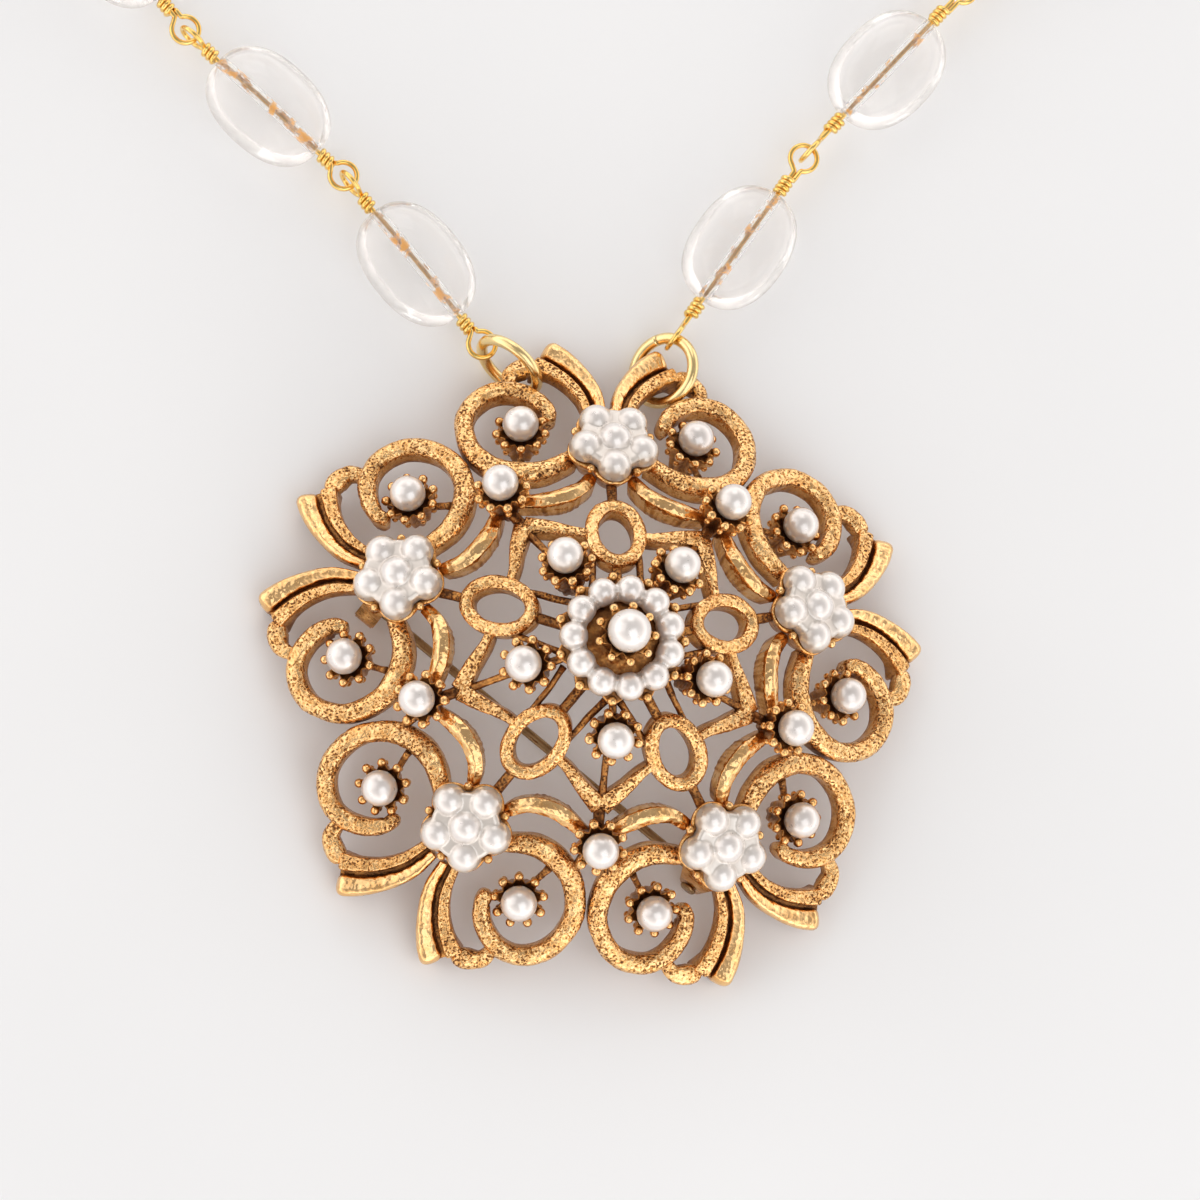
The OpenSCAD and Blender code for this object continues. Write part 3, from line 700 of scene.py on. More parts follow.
def antique_gold():
    """Gold plate, rubbed bright on what stands proud and dark brown in the hollows, from patina and from painted
    shade.
    """
    material, nt, bsdf = tree("antique_gold")
    # Ambient occlusion darkens the colour in hollows and under the pearls: partly the patina the casting holds
    # there, partly painted shade
    occluded = node(nt, "ShaderNodeAmbientOcclusion", {"Distance": 1.5 * MM}, samples=6).outputs["AO"]
    hollow_patina_and_shade = spread(nt, occluded, 0.15, 0.8, 1.0, 0.0)
    blotch = noise_of(nt, 1.4, 4.0, 0.6)
    grain = noise_of(nt, 0.22, 3.0, 0.6)
    pitted, patina_and_shade = attribute(nt, "pitted"), attribute(nt, "patina_and_shade")
    coarse = pits_of(nt, 0.46, 0.25, 0.18, 0.5)
    sponge = spread(nt, noise_of(nt, 0.21, 1.0, 0.4), 0.5, 0.3)
    patches = spread(nt, noise_of(nt, 2.4, 2.0), 0.36, 0.58, 0.25, 1.0)
    pits = calc(nt, "MAXIMUM", coarse, calc(nt, "MULTIPLY", sponge, patches))
    pits = calc(nt, "MULTIPLY", pits, pitted)
    dark = calc(nt, "MULTIPLY", patina_and_shade, 0.6)
    dark = plus(nt, dark, hollow_patina_and_shade, 0.45)
    dark = plus(nt, dark, calc(nt, "SUBTRACT", blotch, 0.45), 0.8)
    dark = plus(nt, dark, calc(nt, "SUBTRACT", grain, 0.5), 0.35)
    dark = plus(nt, dark, spread(nt, pits, 0.05, 0.65), 0.78, True)
    rough = plus(nt, spread(nt, dark, 0.0, 1.0, 0.13, 0.5), pitted, 0.04)
    smoothed = bump(nt, noise_of(nt, 0.8, 1.5), 1.0, 0.2)
    sunk = bump(nt, calc(nt, "SUBTRACT", 1.0, pits), 0.7, 0.1, smoothed)
    normal = bump(nt, grain, 0.25, 0.04, sunk)
    set_all(bsdf, Base_Color=ramp(nt, dark, GOLD_STOPS), Roughness=rough, Normal=normal, Metallic=1.0)
    return material


def bright_metal(name, colours, rough, size=0.5, strength=0.15):
    """A plain metal between two colours, of this roughness, and browner where it has patina."""
    material, nt, bsdf = tree(name)
    tone = ramp(nt, noise_of(nt, 1.2, 3.0), [(0.3, colours[0]), (0.7, colours[1])])
    colour = mixed(nt, attribute(nt, "patina_and_shade"), tone, (0.4, 0.21, 0.06))
    rough = spread(nt, noise_of(nt, 0.6), 0.3, 0.7, rough * 0.8, rough * 1.3)
    normal = bump(nt, noise_of(nt, size, 2.0), strength, 0.04)
    set_all(bsdf, Base_Color=colour, Roughness=rough, Normal=normal, Metallic=1.0)
    return material


def pearl_material():
    """Coated pearl: a nacre that shines softly under a hard clear coat, with painted shade low down in its cup."""
    material, nt, bsdf = tree("pearl")
    body = ramp(nt, noise_of(nt, 1.8, 2.0), [(0.3, (0.80, 0.745, 0.71)), (0.7, (0.88, 0.835, 0.80))])
    # Painted shade: the low parts of the pearls, flowers and seed ring take on this darker colour
    colour = mixed(nt, attribute(nt, "patina_and_shade"), body, (0.60, 0.52, 0.42))
    set_all(bsdf, Base_Color=colour, Roughness=spread(nt, noise_of(nt, 0.7), 0.3, 0.7, 0.27, 0.33))
    set_all(bsdf, Metallic=0.45, Coat_Weight=1.0, Coat_Roughness=0.06, Coat_IOR=1.6)
    return material


def quartz_material():
    """Clear colourless quartz with a few faint veils. Most of the lamps' light goes straight through it, and at
    its rim, where real quartz would bend in the bright room beside it, it is clearer than plain glass."""
    material, nt, bsdf = tree("clear_quartz")
    veil = spread(nt, noise_of(nt, 3.2, 5.0, 0.65), 0.62, 0.75)
    colour = mixed(nt, veil, (0.995, 0.993, 0.99), (0.95, 0.94, 0.93))
    rough = spread(nt, veil, 0.0, 1.0, 0.015, 0.12)
    normal = bump(nt, noise_of(nt, 2.6, 2.0), 0.12, 0.25)
    set_all(bsdf, Base_Color=colour, Roughness=rough, Normal=normal, Transmission_Weight=0.93, IOR=1.46)
    clear = node(nt, "ShaderNodeBsdfTransparent", {"Color": (0.985, 0.97, 0.955, 1)})
    lamp_ray = node(nt, "ShaderNodeLightPath").outputs["Is Shadow Ray"]
    rim = calc(nt, "POWER", node(nt, "ShaderNodeLayerWeight", {"Blend": 0.5}).outputs["Facing"], 1.6)
    share = calc(nt, "MAXIMUM", calc(nt, "MULTIPLY", lamp_ray, 0.8), plus(nt, 0.12, rim, 0.72))
    blend = node(nt, "ShaderNodeMixShader", {0: share, 1: bsdf.outputs[0], 2: clear.outputs[0]})
    put(nt.nodes["Material Output"], {"Surface": blend.outputs[0]})
    return material


def bore_material():
    """The drilled hole: nearly clear, with rusty gold flecks."""
    material, nt, bsdf = tree("frosted_bore")
    fleck = spread(nt, noise_of(nt, 1.5, 4.0, 0.65), 0.54, 0.6)
    colour = mixed(nt, fleck, (0.99, 0.985, 0.97), (0.85, 0.40, 0.07))
    normal = bump(nt, noise_of(nt, 0.2, 3.0), 0.3, 0.03)
    set_all(bsdf, Base_Color=colour, Transmission_Weight=spread(nt, fleck, 0.0, 1.0, 0.97, 0.2))
    set_all(bsdf, Normal=normal, Roughness=0.2, IOR=1.3)
    return material


GOLD = antique_gold()
PEARL = pearl_material()
QUARTZ = quartz_material()
BORE = bore_material()
WIRE = bright_metal("gold_wire", [(0.9, 0.57, 0.15), (0.96, 0.69, 0.26)], 0.13)
BRASS = bright_metal("pale_brass", [(0.90, 0.66, 0.30), (0.96, 0.75, 0.38)], 0.2)
PIN_METAL = bright_metal("pin_metal", [(0.27, 0.17, 0.085), (0.42, 0.28, 0.14)], 0.3, 0.3, 0.3)

# The casting
scroll_rows = [
    (*(SCROLL_MIDDLE + circle(math.radians(a), r)[:2]), lift, share, SCROLL_DEPTH)
    for a, r, share, lift in SCROLL_TABLE
]
scrolls = [band(scroll_rows, rounded_section, 0.14, tips=(0, 0.6))]
hooks = [band(HOOK_PATH, flat_section, 0.14, tips=(0.9, 0))]
piece("cast_scrolls", [cast(s) for s in copies(scrolls + hooks)], GOLD, nodes=["brooch_frame"])
RIBBON_FLOOR = RIBBON_TABLE[:-1] + [(5.9, 28.0, 0.1, 1.95, 0.3, 1.5, 2.4)]
ribbons = [
    band(RIBBON_TABLE, polished_section, 0.12, bulge=0.02, tips=(0, 1.0)),
    band(RIBBON_TABLE, textured_section, 0.12, bulge=0.02, tips=(0, 0.5)),
    band(RIBBON_FLOOR, floor_section, 0.2, bulge=0.0),
]
piece("cast_ribbons", [cast(s, 0.02) for s in copies(ribbons)], GOLD, nodes=["brooch_frame"])

cup_base = over_dome(SCROLL_PLACE, 2.4)
halves = [
    band(LEAF_PATH, leaf_section, 0.11, striated=0.09),
    band(CHEVRON_PATH, flat_section),
    bar(cup_base, on_dome([7.7, 16.9], -0.9), 0.6),
    bar(on_dome([9.6, 16.6], -0.9), over_dome(JUNCTION_PLACE, 3.2), 0.8),
    bar(on_dome([1.9, 8.6], -0.9), on_dome([2.2, 4.2], -1.2), 0.6),
]
wholes = [
    band(EYELET_PATH, eyelet_section, closed=True),
    bar([0, 15.8, dome(15.8) - 1], [0, 12.8, dome(12.8) - 0.9], 0.9),
    bar([0, 8, dome(8) - 0.9], [0, 3.6, 15.2], 0.9),
    bar(on_dome(CORNER, -0.9), over_dome(INNER_PLACE, 3.3), 0.7),
    bar(on_dome(CORNER, -0.9), over_dome(JUNCTION_PLACE, 3.2), 1.0),
    bar(over_dome(INNER_PLACE, 3.2), over_dome((3.6, 36, 15.4), 0), 0.8),
]
bars = [cast(s) for s in copies(halves)] + [cast(s) for s in copies(wholes, both=False)]
piece("cast_bars", bars, GOLD, nodes=["brooch_frame"])

cups = [cast(s, 0.02) for s in copies(cup(SCROLL_PLACE, 2.9))]
cups += [cast(s, 0.02) for s in copies(cup(JUNCTION_PLACE, 3.1) + cup(INNER_PLACE, 3.5), both=False)]
piece("cast_cups", cups, GOLD, nodes=["brooch_frame"])

# Flower beds, with a small bead in each notch between two petals
FLOWER_RADIUS, FLOWER_BED_HEIGHT, FLOWER_LEAN = 18.9, 8.9, 24
FLOWER_MATRIX = turn_z(90) @ turn_y(FLOWER_LEAN)
FLOWER_OFFSET = turn_z(90) @ np.array([FLOWER_RADIUS, 0, FLOWER_BED_HEIGHT])
petal_turns = np.radians(180 + 72 * np.arange(5))
notch_turns = petal_turns - math.radians(36)
FLOWER_BED_ROWS = [  # height, share of the outline, inset, patina
    (-2.4, 0.72, 0, 0.9),
    (-1.6, 0.82, 0, 0.8),
    (-0.5, 0.97, 0, 0.5),
    (-0.2, 1, 0, 0.25),
    (-0.05, 1, 0.06, 0.2),
    (0, 1, 0.2, 0.5),
]


def flower_bed():
    turn = full_turn(80)
    outline = 3.15 + 0.95 * np.abs(np.sin(2.5 * (turn - notch_turns[0])))
    height, share, inset, patina_and_shade = np.transpose(FLOWER_BED_ROWS)[..., None]
    plate = round_shell(circle(turn, outline * share - inset, height), patina_and_shade=patina_and_shade, pitted=0.25)
    parts = [plate] + balls_round(notch_turns, 3.42, 0.12, 0.4, 0.12)
    return [part.moved(FLOWER_MATRIX, FLOWER_OFFSET) for part in parts]


SEED_BED_HEIGHT, SEED_TURN, SEED_COUNT = 18.1, 84, 11
CENTRE_PEARL_HEIGHT = 22
scallop_table = [
    (14.4, 3.7, 3.4, 0.9),
    (16.4, 4.5, 4.0, 0.7),
    (17.4, 5.4, 4.75, 0.35),
    (17.75, 5.65, 4.9, 0.2),
    (18.0, 5.65, 4.9, 0.15),
    (18.1, 5.5, 4.75, 0.75),
]
coronet_table = [
    (17.6, 1.6, 1.4, 0.9),
    (19.0, 1.9, 1.45, 0.7),
    (20.0, 2.3, 1.55, 0.5),
    (20.7, 2.6, 1.7, 0.3),
    (20.9, 2.4, 1.7, 0.3),
    (20.75, 1.9, 1.6, 0.5),
    (CENTRE_PEARL_HEIGHT - CENTRE_PEARL_RADIUS - GAP, 1.1, 1.1, 1.0),
]
scallop = lobed(scallop_table, SEED_COUNT, per_rib=12, sharp=1.0)
rib_turn = SEED_TURN + 180 / SEED_COUNT
middle = [scallop.moved(turn_z(rib_turn)), lobed(coronet_table, CUP_RIBS)]
middle += balls_round(math.radians(rib_turn) + full_turn(SEED_COUNT), 5.42, 18.15, 0.45, 0.15)
middle += balls_round(full_turn(CUP_RIBS), 2.42, 20.75, 0.39, 0.15)
beds = [cast(s, 0.02) for s in list(copies(flower_bed(), both=False)) + middle]
piece("cast_beds", beds, GOLD, nodes=["brooch_frame"])


# The pin, its bracket and its catch, drawn with flower 4's axis along +Y
PIN_OFFSET, PIN_HEIGHT, PIN_RADIUS = 7.5, 2.0, 0.4
HINGE_X, CATCH_X, TIP_X = -18.3, 18.0, 20.2
BRACKET_TOP = 7.3 - PIN_HEIGHT
CHEEK_THICKNESS, CHEEK_PLACE = 0.7, 1.05
PIN_TURN = turn_z(-SECTOR_TURN * 3)
PIN_SHIFT = PIN_TURN @ np.array([0, PIN_OFFSET, PIN_HEIGHT])


def plate(outline, thickness, bevel, patina_and_shade):
    """A flat plate: an outline in the xy plane, its edges bevelled, thickness along z."""
    bm = bmesh.new()
    face = bm.faces.new([bm.verts.new((x, y, -thickness / 2)) for x, y in outline])
    grown = bmesh.ops.extrude_face_region(bm, geom=[face])["geom"]
    upper = [v for v in grown if isinstance(v, bmesh.types.BMVert)]
    bmesh.ops.translate(bm, vec=(0, 0, thickness), verts=upper)
    bmesh.ops.recalc_face_normals(bm, faces=bm.faces)
    sharp = [e for e in bm.edges if e.calc_face_angle(0) > math.radians(40)]
    bmesh.ops.bevel(bm, geom=sharp, offset=bevel, segments=2, affect="EDGES")
    bmesh.ops.triangulate(bm, faces=bm.faces)
    return Shell(*taken(bm), patina_and_shade, 0.15)


def lathe(rows, axis_turn=np.eye(3), offset=(0, 0, 0), sides=40, closed=False):
    """A round body. rows: height along its axis and radius. axis_turn turns the axis away from z."""
    height, radius = np.transpose(rows)[..., None]
    return round_shell(circle(full_turn(sides), radius, height), closed).moved(axis_turn, offset)


def both_ways(rows):
    """Rows of height and radius, and then the same rows mirrored at height 0."""
    return rows + [(-height, radius) for height, radius in rows[::-1]]


def in_pin_frame(shell):
    return shell.moved(PIN_TURN, PIN_SHIFT)


arc = np.radians(np.arange(180, 361, 12))
cheek_outline = [(1.9, BRACKET_TOP), (-1.9, BRACKET_TOP)] + [(1.1 * math.cos(a), 1.1 * math.sin(a)) for a in arc]
cheek = plate(cheek_outline, CHEEK_THICKNESS, 0.12, 0.35)
bracket = [in_pin_frame(cheek.moved(turn_x(90), (HINGE_X, s * CHEEK_PLACE, 0))) for s in (-1, 1)]

CATCH_RADIUS, SLOT_HALF, CATCH_LENGTH = 1.75, 0.52, 2.0
slot_start = math.asin(SLOT_HALF / CATCH_RADIUS)
arcs = np.linspace(-math.pi / 2 + slot_start, 1.5 * math.pi - slot_start, 48)
catch_outline = []
for a in arcs:
    y, z = CATCH_RADIUS * math.cos(a), CATCH_RADIUS * math.sin(a)
    if z > 0 and abs(y) < 1.2:
        continue
    catch_outline.append((y, z))
    if y > 0 and z > 0 and CATCH_RADIUS * math.cos(a + (arcs[1] - arcs[0])) < 1.2:
        catch_outline += [(1.2, BRACKET_TOP), (-1.2, BRACKET_TOP)]
catch_outline += [(-SLOT_HALF * math.cos(a), SLOT_HALF * math.sin(a)) for a in np.radians(np.arange(0, 181, 20))]
catch_turn = turn_z(90) @ turn_x(90)
catch = plate(catch_outline, CATCH_LENGTH, 0.12, 0.35).moved(catch_turn, (CATCH_X, 0, 0))
piece("pin_bracket", [cast(s, 0.01) for s in bracket + [in_pin_frame(catch)]], GOLD, nodes=["brooch_frame"])

EYE_TURN = turn_x(90)
eye_rows = both_ways([(0.36, 1.0), (0.46, 0.97), (0.5, 0.86), (0.5, 0.62), (0.46, 0.5), (0.3, 0.48)])
eye = lathe(eye_rows, EYE_TURN, (HINGE_X, 0, 0), closed=True)
stem_end = TIP_X + 1.1
stem_rows = [(HINGE_X + 0.72, 0.3), (HINGE_X + 0.8, 0.46), (HINGE_X + 1.1, 0.43), (HINGE_X + 1.6, PIN_RADIUS)]
stem_rows += [(x, PIN_RADIUS) for x in np.linspace(HINGE_X + 3, TIP_X - 2.4, 24)]
stem_rows += [(TIP_X - 1.2, 0.38), (TIP_X - 0.4, 0.27), (TIP_X + 0.4, 0.16)]
stem_rows += [(stem_end - 0.15, 0.09), (stem_end, 0.05)]
stem = lathe(stem_rows, turn_y(90), sides=24)
pin = [in_pin_frame(eye), in_pin_frame(stem)]
piece("pin_wire", pin, PIN_METAL, body="pin", nodes=["pin_stem"])
RIVET_OUTER = CHEEK_PLACE + CHEEK_THICKNESS / 2 + GAP
RIVET_HEAD = [(0.3, 0.45), (0.26, 0.62), (0.14, 0.73), (0, 0.75), (0, 0.4)]
rivet_rows = both_ways([(-RIVET_OUTER - out, radius) for out, radius in RIVET_HEAD])
rivet = in_pin_frame(lathe(rivet_rows, EYE_TURN, (HINGE_X, 0, 0)))
piece("pin_rivet_dressed", [rivet], PIN_METAL, nodes=["pin_rivet"])


# Pearls
def pearl(centre, radius, salt, detail=4, up=(0, 0, 1)):
    """A pearl, very slightly out of round. Its painted shade grows from nothing on top to full below its waist."""
    made = ball(np.zeros(3), radius, detail=detail)
    out = unit(made.points)
    # Painted shade: darker the more a point faces away from the pearl's up, as if shaded in its cup
    made.patina_and_shade = np.clip(0.75 - 1.15 * (out @ unit(up)), 0, 0.8)
    uneven = 0.012 * radius * waves(made.points + 7.3 * salt, radius * 1.3, salt)
    made.points = made.points + out * uneven[:, None] + centre
    return made


def pearl_at(place, k, side, salt):
    """The pearl of the cup at this place in sector k, mirrored where side is -1."""
    matrix = turn_z(-SECTOR_TURN * k) @ np.diag([float(side), 1.0, 1.0])
    turn, at = leaning(place)
    return pearl(matrix @ at, PEARL_RADIUS, salt, up=matrix @ turn @ [0, 0, 1])


centre_pearl = pearl([0, 0, CENTRE_PEARL_HEIGHT], CENTRE_PEARL_RADIUS, 1, 5)
piece("pearl_middle", [centre_pearl], PEARL, nodes=["centre_pearl"])
for k in range(SECTORS):
    for name, place, salt in (("inner", INNER_PLACE, 10), ("junction", JUNCTION_PLACE, 20)):
        made = pearl_at(place, k, 1, salt + k)
        piece(f"pearl_{name}_{k + 1}", [made], PEARL, nodes=[f"{name}_pearl_{k + 1}"])
outer = [pearl_at(SCROLL_PLACE, k, side, 30 + 2 * k + side) for k in range(SECTORS) for side in (1, -1)]
piece("pearls_scroll", outer, PEARL, nodes=["scroll_pearls"])


def fused(shells, voxel, rounds):
    """The shells as one skin, with the creases between them softened."""
    obj = joined("fused", shells)
    mesh = obj.data
    remesh = obj.modifiers.new("skin", "REMESH")
    remesh.mode, remesh.voxel_size = "VOXEL", voxel
    soften = obj.modifiers.new("soften", "SMOOTH")
    soften.factor, soften.iterations = 0.5, rounds
    bpy.context.view_layer.update()
    done = obj.evaluated_get(bpy.context.evaluated_depsgraph_get()).to_mesh()
    made = Shell([tuple(v.co) for v in done.vertices], [tuple(p.vertices) for p in done.polygons])
    bpy.data.objects.remove(obj)
    bpy.data.meshes.remove(mesh)
    return made


PETAL_RADIUS, PETAL_DISTANCE, PETAL_HEIGHT = 1.5, 2.56, 0.45


def flattened(shell, low):
    """The shell with everything below this height pressed flat."""
    shell.points[:, 2] = np.maximum(shell.points[:, 2], low)
    return shell


flower_parts = balls_round(petal_turns, PETAL_DISTANCE, PETAL_HEIGHT, PETAL_RADIUS, 0.0, 4)
flower_parts.append(ball((0, 0, PETAL_HEIGHT + 0.38), PETAL_RADIUS, detail=4))
flower_parts.append(lathe([(GAP, 3.0), (1.15, 3.0), (1.38, 2.7)]))
flower = fused([flattened(part, GAP) for part in flower_parts], 0.1, 4)
# Painted shade: the flower is darker the lower it lies, in the valleys between its petals
flower.patina_and_shade = np.clip(1.75 - 0.95 * flower.points[:, 2], 0, 0.75)
for k in range(SECTORS):
    sector = turn_z(-SECTOR_TURN * k)
    turned = flower.moved(sector @ FLOWER_MATRIX, sector @ FLOWER_OFFSET)
    uneven = 0.02 * waves(turned.points, 1.7, 40 + k)
    turned.points = turned.points + point_normals(turned.points, turned.faces) * uneven[:, None]
    piece(f"flower_{k + 1}", [turned], PEARL, nodes=[f"pearl_flower_{k + 1}"])

SEED_RADIUS, SEED_RING_RADIUS, SEED_RING_BORE = 1.26, 4.22, 3.05
SEED_RING_ROWS = [(18.2, 3.2), (18.2, 4.5), (18.9, 4.5), (19.0, 4.3), (19.0, 3.4), (18.9, 3.2)]
seed_turns = math.radians(SEED_TURN) + full_turn(SEED_COUNT)
seed_low = SEED_BED_HEIGHT + GAP
seeds = balls_round(seed_turns, SEED_RING_RADIUS, seed_low + 0.6, SEED_RADIUS, 0.0, 4)
seeds = [flattened(seed, seed_low) for seed in seeds] + [lathe(SEED_RING_ROWS, sides=96, closed=True)]
seed_ring = fused(seeds, 0.11, 3)
radial = np.hypot(seed_ring.points[:, 0], seed_ring.points[:, 1])
seed_ring.points[:, :2] *= (np.maximum(radial, SEED_RING_BORE) / radial)[:, None]
# Painted shade: the seed ring is darker the lower it lies, down between the seeds
seed_ring.patina_and_shade = np.clip(1.2 - 0.75 * (seed_ring.points[:, 2] - SEED_BED_HEIGHT), 0, 0.75)
piece("seed_pearls", [seed_ring], PEARL, nodes=["seed_pearl_ring"])

# The chain, as in the part's source
BEAD_LENGTH, BEAD_WIDTH, BEAD_THICKNESS, BORE_RADIUS = 11.8, 8.8, 5.6, 0.5
WIRE_RADIUS, LOOP_RADIUS = 0.23, 1.2
LOOP_BACK = LOOP_RADIUS - WIRE_RADIUS - 0.5
CHAIN_HEIGHT = BEAD_THICKNESS / 2
LEFT_SEEN = np.array([[-10.63, 28], [-23.5, 42.1], [-38.1, 53.9]])
RIGHT_SEEN = np.array([[5.82, 30.06], [17.1, 48.0], [30.9, 64.7]])
CLASP_MIDDLE = np.array([-5.0, 199.0])
LEFT_END, RIGHT_END = CLASP_MIDDLE + [-8.3, 0], CLASP_MIDDLE + [8.3, 0]


def curve_joints(p, p_heading, q, q_heading, count):
    """Points at even steps on a curve from p, which it leaves at its heading, to q, which it reaches at its own."""
    reach = 0.4 * np.linalg.norm(q - p)
    b = p + circle(math.radians(p_heading), reach)[:2]
    c = q - circle(math.radians(q_heading), reach)[:2]
    t = np.linspace(0, 1, 161)[:, None]
    s = 1 - t
    points = s**3 * p + 3 * s * s * t * b + 3 * s * t * t * c + t**3 * q
    run = run_of(points)
    return at_runs(run[-1] * np.arange(1, count + 1) / count, run, points)


left_joints = np.vstack([LEFT_SEEN, curve_joints(LEFT_SEEN[2], 142, LEFT_END, 0, 9)])
right_joints = np.vstack([RIGHT_SEEN, curve_joints(RIGHT_SEEN[2], 50, RIGHT_END, 180, 8)])
SIDES = (("left", left_joints), ("right", right_joints))


def chain_places(joints):
    """The middle, matrix and length of each link between two joints."""
    for a, b in zip(joints[:-1], joints[1:]):
        heading = math.degrees(math.atan2(b[1] - a[1], b[0] - a[0]))
        yield np.array([*(a + b) / 2, CHAIN_HEIGHT]), turn_z(heading), float(np.linalg.norm(b - a))


BEAD_SIDES = 64
FULLNESS = 2.35  # 2 would make a bead's outline an ellipse; more makes it fuller towards its ends
POLE_CUT = 0.235  # how far from the pole, in radians, the outside's first ring lies


def bead_shell(salt):
    """A polished oval bead with a drilled hole, and the number of its first point in the hole. Its shape swells a
    little unevenly, as a tumbled stone's."""
    turn = full_turn(BEAD_SIDES)
    cos, sin = np.cos(turn), np.sin(turn)
    a, b, c = BEAD_THICKNESS / 2, BEAD_WIDTH / 2, BEAD_LENGTH / 2
    rings = []
    for phi in np.linspace(POLE_CUT, math.pi - POLE_CUT, 44):
        r, x = math.sin(phi) ** (2 / FULLNESS), abs(math.cos(phi)) ** (2 / FULLNESS)
        rings.append(points_of(-c * math.copysign(x, math.cos(phi)), b * r * cos, a * r * sin))
    ends = []
    for r, back in ((BORE_RADIUS + 0.06, 0.0), (BORE_RADIUS, 0.07)):
        x = c * (1 - np.hypot(r * cos / b, r * sin / a) ** FULLNESS) ** (1 / FULLNESS) - back
        ends.append(points_of(x, r * cos, r * sin))
    flip = np.array([-1.0, 1.0, 1.0])
    rings = [ends[1] * flip, ends[0] * flip] + rings + ends
    hole = [points_of(x, BORE_RADIUS * cos, BORE_RADIUS * sin) for x in np.linspace(c - 0.5, -c + 0.5, 9)]
    shell = round_shell(rings + hole, closed=True)
    swell = waves(shell.points + 31.7 * salt, 5.5, 60 + salt)
    radial = np.hypot(shell.points[:, 1], shell.points[:, 2])
    scale = 1 - 0.035 * (0.5 + 0.5 * swell) * np.clip((radial - 0.6) / 1.5, 0, 1)
    shell.points[:, 1:] *= scale[:, None]
    return shell, len(rings) * BEAD_SIDES


for side, joints in SIDES:
    for i, (centre, matrix, _) in enumerate(chain_places(joints), 1):
        shell, hole_start = bead_shell(i + (20 if side == "right" else 0))
        placed = shell.moved(matrix, centre)
        obj = piece(f"quartz_{side}_{i}", [placed], QUARTZ, nodes=[f"bead_{side}_{i}"])
        obj.data.materials.append(BORE)
        for polygon in obj.data.polygons:
            if min(polygon.vertices) >= hole_start - BEAD_SIDES and max(polygon.vertices) >= hole_start:
                polygon.material_index = 1


def tube(path, radius, sides=16):
    """A round wire along a path of points."""
    path = np.asarray(path, float)
    along = unit(np.gradient(path, axis=0))
    side = np.cross(along[0], [0.3, 0.2, 1.0])
    rings = []
    for p, t in zip(path, along):
        side = unit(side - t * np.dot(side, t))
        rings.append(ring_about(p, radius, side, np.cross(t, side), sides))
    return round_shell(rings, bulge=0.3 * radius)


def even(path, step):
    """The path with its points at even steps."""
    run = run_of(path)
    return at_runs(np.linspace(0, run[-1], max(int(run[-1] / step), 4)), run, path)


WRAP_RADIUS, WRAP_PITCH = 2 * WIRE_RADIUS - 0.01, 0.47


def wire_half(half, sign, upright, phase, turns):
    """Half of a bead's wire: out of the bead, round its loop, then wrapped back on itself next to the bead."""
    lateral = np.array([0, 0, 1.0]) if upright else np.array([0, 1.0, 0])
    forward = np.array([float(sign), 0, 0])
    other = np.cross(forward, lateral)
    core = half - LOOP_RADIUS
    path = [forward * x for x in (0.0, 1.5, 3.0, 4.5, 5.8, core - 0.6, core - 0.25)]
    for a in np.radians(np.linspace(152, -158, 40)):
        path.append(forward * (half + LOOP_RADIUS * math.cos(a)) + lateral * LOOP_RADIUS * math.sin(a))
    first = BEAD_LENGTH / 2 + WIRE_RADIUS + 0.03
    last = first + 0.02 + turns * WRAP_PITCH
    for t in np.linspace(0, 1, int(turns * 20) + 1):
        a = 2 * math.pi * turns * t + phase
        around = WRAP_RADIUS * (-math.cos(a) * lateral + math.sin(a) * other)
        path.append(forward * (last + (first - last) * t) + around)
    return tube(even(path, 0.14), WIRE_RADIUS, 10)


for side, joints in SIDES:
    wires = []
    for i, (centre, matrix, length) in enumerate(chain_places(joints), 1):
        half = length / 2 - LOOP_BACK
        upright_first = side == "right"
        turns = 3.0 if half < 9.8 else 3.4
        for sign, upright in ((-1, upright_first), (1, not upright_first)):
            made = wire_half(half, sign, upright, 0.15 * ((i * 7 + sign) % 5), turns)
            made.patina_and_shade = np.where(np.abs(made.points[:, 0]) < BEAD_LENGTH / 2 - 0.4, 0.85, 0.0)
            wires.append(made.moved(matrix, centre))
    piece(f"wires_dressed_{side}", wires, WIRE, nodes=[f"{side}_wires"])


def split_ring(radius, wire, matrix, offset, cut_turn):
    """A ring of wire whose two cut ends meet."""
    slit = 0.05 / radius
    turn = np.linspace(slit, 2 * math.pi - slit, 96) + math.radians(cut_turn)
    return tube(circle(turn, radius), wire).moved(matrix, offset)


JUMP_RADIUS, JUMP_WIRE = 2.95, 0.5
JUMP_RINGS = [  # side, middle, heading, how far it rises out of the vertical
    ("left", (-8.52, 26.55, 3.4), -127.2, 12.8),
    ("right", (5.23, 27.44, 2.54), -4.9, -49.9),
]
for side, middle_at, heading, rise in JUMP_RINGS:
    ring = split_ring(JUMP_RADIUS, JUMP_WIRE, turn_z(heading) @ turn_y(90 - rise), middle_at, 70)
    piece(f"ring_{side}", [ring], BRASS, nodes=[f"jump_ring_{side}"])

